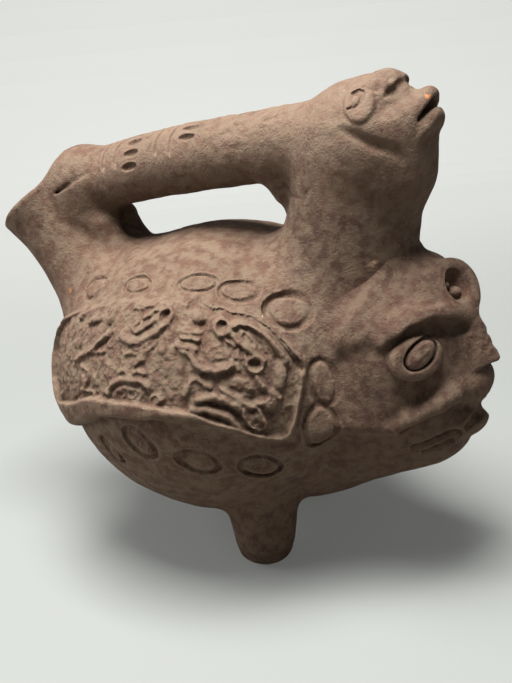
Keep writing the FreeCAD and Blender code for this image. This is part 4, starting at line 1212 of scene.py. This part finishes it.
def on_flank(p):
    """Place along the flank, the panel's level, and how far inside its recess and pricked ground."""
    s = flank_radius * np.arctan2(p[:, 0], np.abs(p[:, 1]) + 1e-6)
    a = np.clip((s - flank_along[0]) / fine, 0, len(flank_along) - 1.01)
    b = np.clip((p[:, 2] - flank_up[0]) / fine, 0, len(flank_up) - 1.01)
    i, j = a.astype(int), b.astype(int)
    fa, fb = (a - i)[:, None], (b - j)[:, None]
    found = ((relief_maps[i, j] * (1 - fa) + relief_maps[i + 1, j] * fa) * (1 - fb)
             + (relief_maps[i, j + 1] * (1 - fa) + relief_maps[i + 1, j + 1] * fa) * fb)
    return s, found[:, 0], found[:, 1], found[:, 2]


def panel_skin(p):
    return (bowl_skin(p) - on_flank(p)[1]) * 0.8


clay = with_more(clay, panel_skin, 1.4, (-92, -95, -24), (92, 95, 62))


def panel_part(where, sign):
    def form(p):
        s, _, inside, _ = on_flank(p)
        edge = np.maximum(panel_skin(p) - 1.0, where(s, p[:, 2], inside, sign))
        return np.maximum(tucked(clay(p), edge), -(bowl_skin(p) + 2.5))

    return form


frame_end = 63


def lengthwise(s, t, inside, sign):
    """A roll above (1) or below (-1) the recess, between the two end rolls."""
    middle_line = 24.0 - 0.0018 * s * s
    return np.maximum(np.maximum(inside, sign * (middle_line - t)), np.abs(s) - frame_end)


def endwise(s, t, inside, sign):
    """A roll across the front (1) or the rear end (-1) of the recess."""
    return np.maximum(inside, frame_end - sign * s)


panel_pieces = {
    "relief_plaque": (lambda s, t, inside, sign: -inside, 0, (-80, 30, -14), (78, 92, 56), 0.45),
    "frame_top": (lengthwise, 1, (-76, 30, 8), (78, 88, 62), 0.8),
    "frame_bottom": (lengthwise, -1, (-76, 40, -22), (78, 92, 32), 0.8),
    "frame_front": (endwise, 1, (44, 26, -20), (82, 74, 56), 0.8),
    "frame_rear": (endwise, -1, (-88, 20, -20), (-44, 74, 56), 0.8),
}
for name, (where, sign, low, high, grain) in panel_pieces.items():
    for side, flank in (("near", -1), ("far", 1)):
        y_ends = sorted((flank * low[1], flank * high[1]))
        shaped(f"{name}_{side}", "relief_clay", panel_part(where, sign),
               (low[0], y_ends[0], low[2]), (high[0], y_ends[1], high[2]), grain)

# THE STIPPLED GROUND: small pellets of clay standing close together on parts of the plaque,
# where the mould's ground was pricked with a point. They are of the plaque's own clay.
stipple = bpy.data.node_groups.new("stippled_ground", "GeometryNodeTree")
asked = {word: stipple.interface.new_socket(word, in_out="INPUT", socket_type="NodeSocket" + kind)
         for word, kind in (("Bed", "Geometry"), ("Spacing", "Float"), ("Pellet radius", "Float"))}
stipple.interface.new_socket("Pellets", in_out="OUTPUT", socket_type="NodeSocketGeometry")
given = add(stipple, "NodeGroupInput").outputs
spread = add(stipple, "GeometryNodeDistributePointsOnFaces", {"distribute_method": "POISSON"},
             Mesh=given["Bed"], Distance_Min=given["Spacing"], Density_Max=800000.0, Seed=7)
pellet = add(stipple, "GeometryNodeMeshUVSphere", Segments=8, Rings=5, Radius=given["Pellet radius"])
uneven = add(stipple, "FunctionNodeRandomValue", {"data_type": "FLOAT_VECTOR"}, _0=(0.7, 0.7, 0.9),
             _1=(1.3, 1.25, 1.5), Seed=3)
laid = add(stipple, "GeometryNodeInstanceOnPoints", Points=spread.outputs["Points"],
           Instance=pellet.outputs["Mesh"], Rotation=spread.outputs["Rotation"], Scale=uneven.outputs[0])
real = add(stipple, "GeometryNodeRealizeInstances", Geometry=laid.outputs[0])
smooth = add(stipple, "GeometryNodeSetShadeSmooth", Geometry=real.outputs[0])
coated = add(stipple, "GeometryNodeSetMaterial", Geometry=smooth.outputs[0],
             Material=clays["relief_clay"])
add(stipple, "NodeGroupOutput", _0=coated.outputs[0])

for side in ("near", "far"):
    plaque = bpy.data.objects[f"relief_plaque_{side}_clay"].data
    centres, facing = (np.empty(len(plaque.polygons) * 3, np.float32) for _ in range(2))
    plaque.polygons.foreach_get("center", centres)
    plaque.polygons.foreach_get("normal", facing)
    centres = centres.reshape(-1, 3) * 1000 - bowl_middle.astype(np.float32)
    outward = (facing.reshape(-1, 3) * centres).sum(1) > 20
    chosen = np.nonzero(outward & (on_flank(centres)[3] > 0.2))[0]
    faces = [tuple(plaque.polygons[i].vertices) for i in chosen]
    used = sorted({v for face in faces for v in face})
    place = {v: i for i, v in enumerate(used)}
    bed = bpy.data.meshes.new(f"stippled_bed_{side}")
    bed.from_pydata([tuple(plaque.vertices[v].co) for v in used], [],
                    [[place[v] for v in face] for face in faces])
    piece = bpy.data.objects.new(f"stippled_ground_{side}", bed)
    bpy.context.scene.collection.objects.link(piece)
    modifier = piece.modifiers.new("stipple", "NODES")
    modifier.node_group = stipple
    modifier[asked["Spacing"].identifier] = 0.00155
    modifier[asked["Pellet radius"].identifier] = 0.00075
    graph = bpy.context.evaluated_depsgraph_get()
    pellets = bpy.data.meshes.new_from_object(piece.evaluated_get(graph), depsgraph=graph)
    piece.modifiers.clear()
    piece.data = pellets
    bpy.data.meshes.remove(bed)
    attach(piece, "root")
    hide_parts(f"relief_plaque_{side}")
    pieces.append(piece)

# THE FINISH: handling, dirt and chips, and painted light and shade. Each piece carries how hollow,
# how exposed and how upward its skin is, where the surface is freshly chipped, and where shade and top light
# are painted, for its material to read.
chips = [
    ((-74, -31, 42), 2.6), ((57.5, -56, 4), 3.4), ((58, -54, 14), 2.8), ((101, -11.5, 117.5), 2.4),
    ((105.5, -6, 128.5), 1.8), ((-104, -20, 76), 1.8),
]


def weathering_and_painted_light(piece):
    """Attributes for the material: hollows, ridges, upward skin, chips, redness, and painted shade and top
    light.
    """
    mesh = piece.data
    p = np.empty(len(mesh.vertices) * 3, np.float32)
    mesh.vertices.foreach_get("co", p)
    p = p.reshape(-1, 3) * 1000 - bowl_middle.astype(np.float32)
    out = np.empty(len(mesh.vertices) * 3, np.float32)
    mesh.vertex_normals.foreach_get("vector", out)
    out = out.reshape(-1, 3)

    def step(value):
        value = np.clip(value, 0, 1)
        return value * value * (3 - 2 * value)

    def look(q):
        q, n = q[:, :3], q[:, 3:]
        shut = np.zeros(len(q), np.float32)
        for reach, weight in ((1.5, 0.35), (4.0, 0.35), (9.0, 0.3)):
            shut += weight * np.clip((reach - clay(q + n * reach)) / reach, 0, 1)
        corners = np.array(((1, 1, 1), (1, -1, -1), (-1, 1, -1), (-1, -1, 1)), np.float32) * 0.8
        bend = (sum(clay(q + d) for d in corners) - 4 * clay(q)) * 0.78
        return np.stack((shut, bend), 1)

    seen = in_turn(look, np.concatenate((p, out), 1).astype(np.float32))
    # The oval stamps' grooves are counted as hollow so that they darken: painted shade in the grooves.
    grooves = np.clip(in_turn(lambda q: stamped(q, True), p) / 1.3 - 0.5, 0, 0.8)
    patchy = in_turn(lambda q: 0.5 + clay_noise(q, 34.0, 81), p)
    x, z = p[:, 0], p[:, 2]
    worth = {
        "hollow": np.clip(seen[:, 0] * 1.6 - 0.1, 0, 1) + np.clip(-seen[:, 1] * 0.5, 0, 0.6) + grooves,
        "ridge": np.clip(seen[:, 1] * 1.4 - 0.12, 0, 1),
        # Painted light: how far the skin faces up and towards the rear, away from the mask's side.
        "up": np.clip(out[:, 2] * 0.6 + 0.4 - out[:, 0] * 0.35, 0, 1),
        "reddened": step((x - 62) / 30) * step((66 - z) / 14),
        # Painted shade on the neck below the head and low on the front by the mask; darker towards the bottom
        # of the bowl, and random patches lower down.
        "painted_shade_and_patches": np.clip(0.75 * step((-18 - z) / 44)
                          + 0.95 * step((x - 22) / 45) * step((96 - z) / 24) * step((z - 44) / 22)
                          + 0.7 * step((x - 22) / 34) * step((52 - z) / 30)
                          + 0.25 * step(patchy) * step((40 - z) / 60), 0, 1),
        # Painted top light above 84 mm, in random patches, plus pale dust in the handle's cut lines.
        "top_light_and_line_dust": 0.75 * step((z - 84) / 40) * step(0.45 + 0.6 * patchy) + 0.9 * handle_lines(p),
    }
    fresh = np.zeros(len(p), np.float32)
    for middle, reach in chips:
        fresh = np.maximum(fresh, np.exp(-((p - np.array(middle, np.float32)) ** 2).sum(1) / reach ** 2))
    worth["chip"] = fresh
    for name, value in worth.items():
        mesh.attributes.new(name, "FLOAT", "POINT").data.foreach_set("value", value.astype(np.float32))


for piece in pieces:
    weathering_and_painted_light(piece)

# THE STAGE: a plain pale table that curves up into a backdrop, with a painted glow that makes it
# brighter far behind the vessel, and soft light from above and from the left.
sweep = bmesh.new()
bend_start, bend, half_width = 0.75, 0.25, 2.5
profile = [(-1.6, 0.0), (bend_start, 0.0)]
profile += [(bend_start + bend * math.sin(a), bend - bend * math.cos(a))
            for a in np.linspace(0.1, math.pi / 2, 12)]
profile += [(bend_start + bend, 2.2)]
rows = [[sweep.verts.new((x, y, z)) for x in (-half_width, half_width)] for y, z in profile]
for a, b in zip(rows[:-1], rows[1:]):
    sweep.faces.new((a[0], a[1], b[1], b[0]))
floor_mesh = bpy.data.meshes.new("table_and_backdrop")
sweep.to_mesh(floor_mesh)
sweep.free()
paper = bpy.data.materials.new("pale_paper_backdrop")
paper.use_nodes = True
tree = paper.node_tree
seen = add(tree, "ShaderNodeLightPath").outputs["Is Camera Ray"]
spot = add(tree, "ShaderNodeTexCoord").outputs["Object"]
behind = add(tree, "ShaderNodeSeparateXYZ", Vector=spot).outputs["Y"]
# Painted light: to the camera the sheet is dark with a glow that grows towards the back, which also lifts its
# shadow; other rays see plain grey.
far = add(tree, "ShaderNodeMapRange", {"interpolation_type": "SMOOTHSTEP"}, Value=behind,
          From_Min=0.12, From_Max=0.8, To_Min=0.1, To_Max=0.5).outputs["Result"]
painted_backdrop_glow = add(tree, "ShaderNodeEmission", Color=linear("#fbfcf8"), Strength=far)
sheet = add(tree, "ShaderNodeBsdfDiffuse", Color=linear("#757774"))
both = add(tree, "ShaderNodeAddShader", _0=painted_backdrop_glow.outputs[0], _1=sheet.outputs[0])
grey = add(tree, "ShaderNodeBsdfDiffuse", Color=linear("#7c7a75"))
blend = add(tree, "ShaderNodeMixShader", _0=seen, _1=grey.outputs[0], _2=both.outputs[0])
tree.links.new(blend.outputs[0], tree.nodes["Material Output"].inputs["Surface"])
floor_mesh.materials.append(paper)
floor = bpy.data.objects.new("table_and_backdrop", floor_mesh)
floor.rotation_euler = (0, 0, math.radians(30))
bpy.context.scene.collection.objects.link(floor)

world = bpy.data.worlds.new("soft_room")
bpy.context.scene.world = world
world.use_nodes = True
world.node_tree.nodes["Background"].inputs["Color"].default_value = linear("#e4e6e8")
world.node_tree.nodes["Background"].inputs["Strength"].default_value = 0.31


def lamp(name, place, size, power, colour="#ffffff"):
    light = bpy.data.lights.new(name, "AREA")
    light.shape, light.size, light.size_y = "RECTANGLE", size[0], size[1]
    light.energy, light.color = power, linear(colour)[:3]
    holder = bpy.data.objects.new(name, light)
    holder.location = place
    vessel = Vector((0.0, 0.0, 0.1))
    holder.rotation_euler = (vessel - Vector(place)).to_track_quat("-Z", "Y").to_euler()
    bpy.context.scene.collection.objects.link(holder)


lamp("overhead_lamp", (-0.02, -0.12, 1.0), (0.52, 0.52), 34.0)
lamp("left_softbox", (-0.65, -0.4, 0.45), (0.5, 0.5), 4.4)

# THE CAMERA: the photograph's viewing angle, 30 degrees round to the mask, 20 degrees above
# the table and rolled by 5, with its focal length and picture height in pixels.
azimuth, elevation, roll_angle = math.radians(30), math.radians(20), math.radians(5)
focal_pixels, picture_pixels, sensor_mm = 1000, 683, 36.0
level_share = math.cos(elevation)
back = Vector((math.sin(azimuth) * level_share, -math.cos(azimuth) * level_share, math.sin(elevation)))
level_right = Vector((math.cos(azimuth), math.sin(azimuth), 0))
upright = back.cross(level_right)
right = math.cos(roll_angle) * level_right - math.sin(roll_angle) * upright
top = math.sin(roll_angle) * level_right + math.cos(roll_angle) * upright
lens = bpy.data.cameras.new("camera")
lens.sensor_fit, lens.sensor_width = "AUTO", sensor_mm
lens.lens = sensor_mm * focal_pixels / picture_pixels
camera = bpy.data.objects.new("camera", lens)
middle = Vector(bowl_middle / 1000)
camera.location = middle + back * 0.5 + right * 0.0105 + top * 0.00975
camera.rotation_mode = "QUATERNION"
camera.rotation_quaternion = Matrix((right, top, back)).transposed().to_quaternion()
lens.clip_start, lens.clip_end = 0.01, 20
bpy.context.scene.collection.objects.link(camera)
bpy.context.scene.camera = camera
bpy.context.scene.view_settings.view_transform = "Standard"
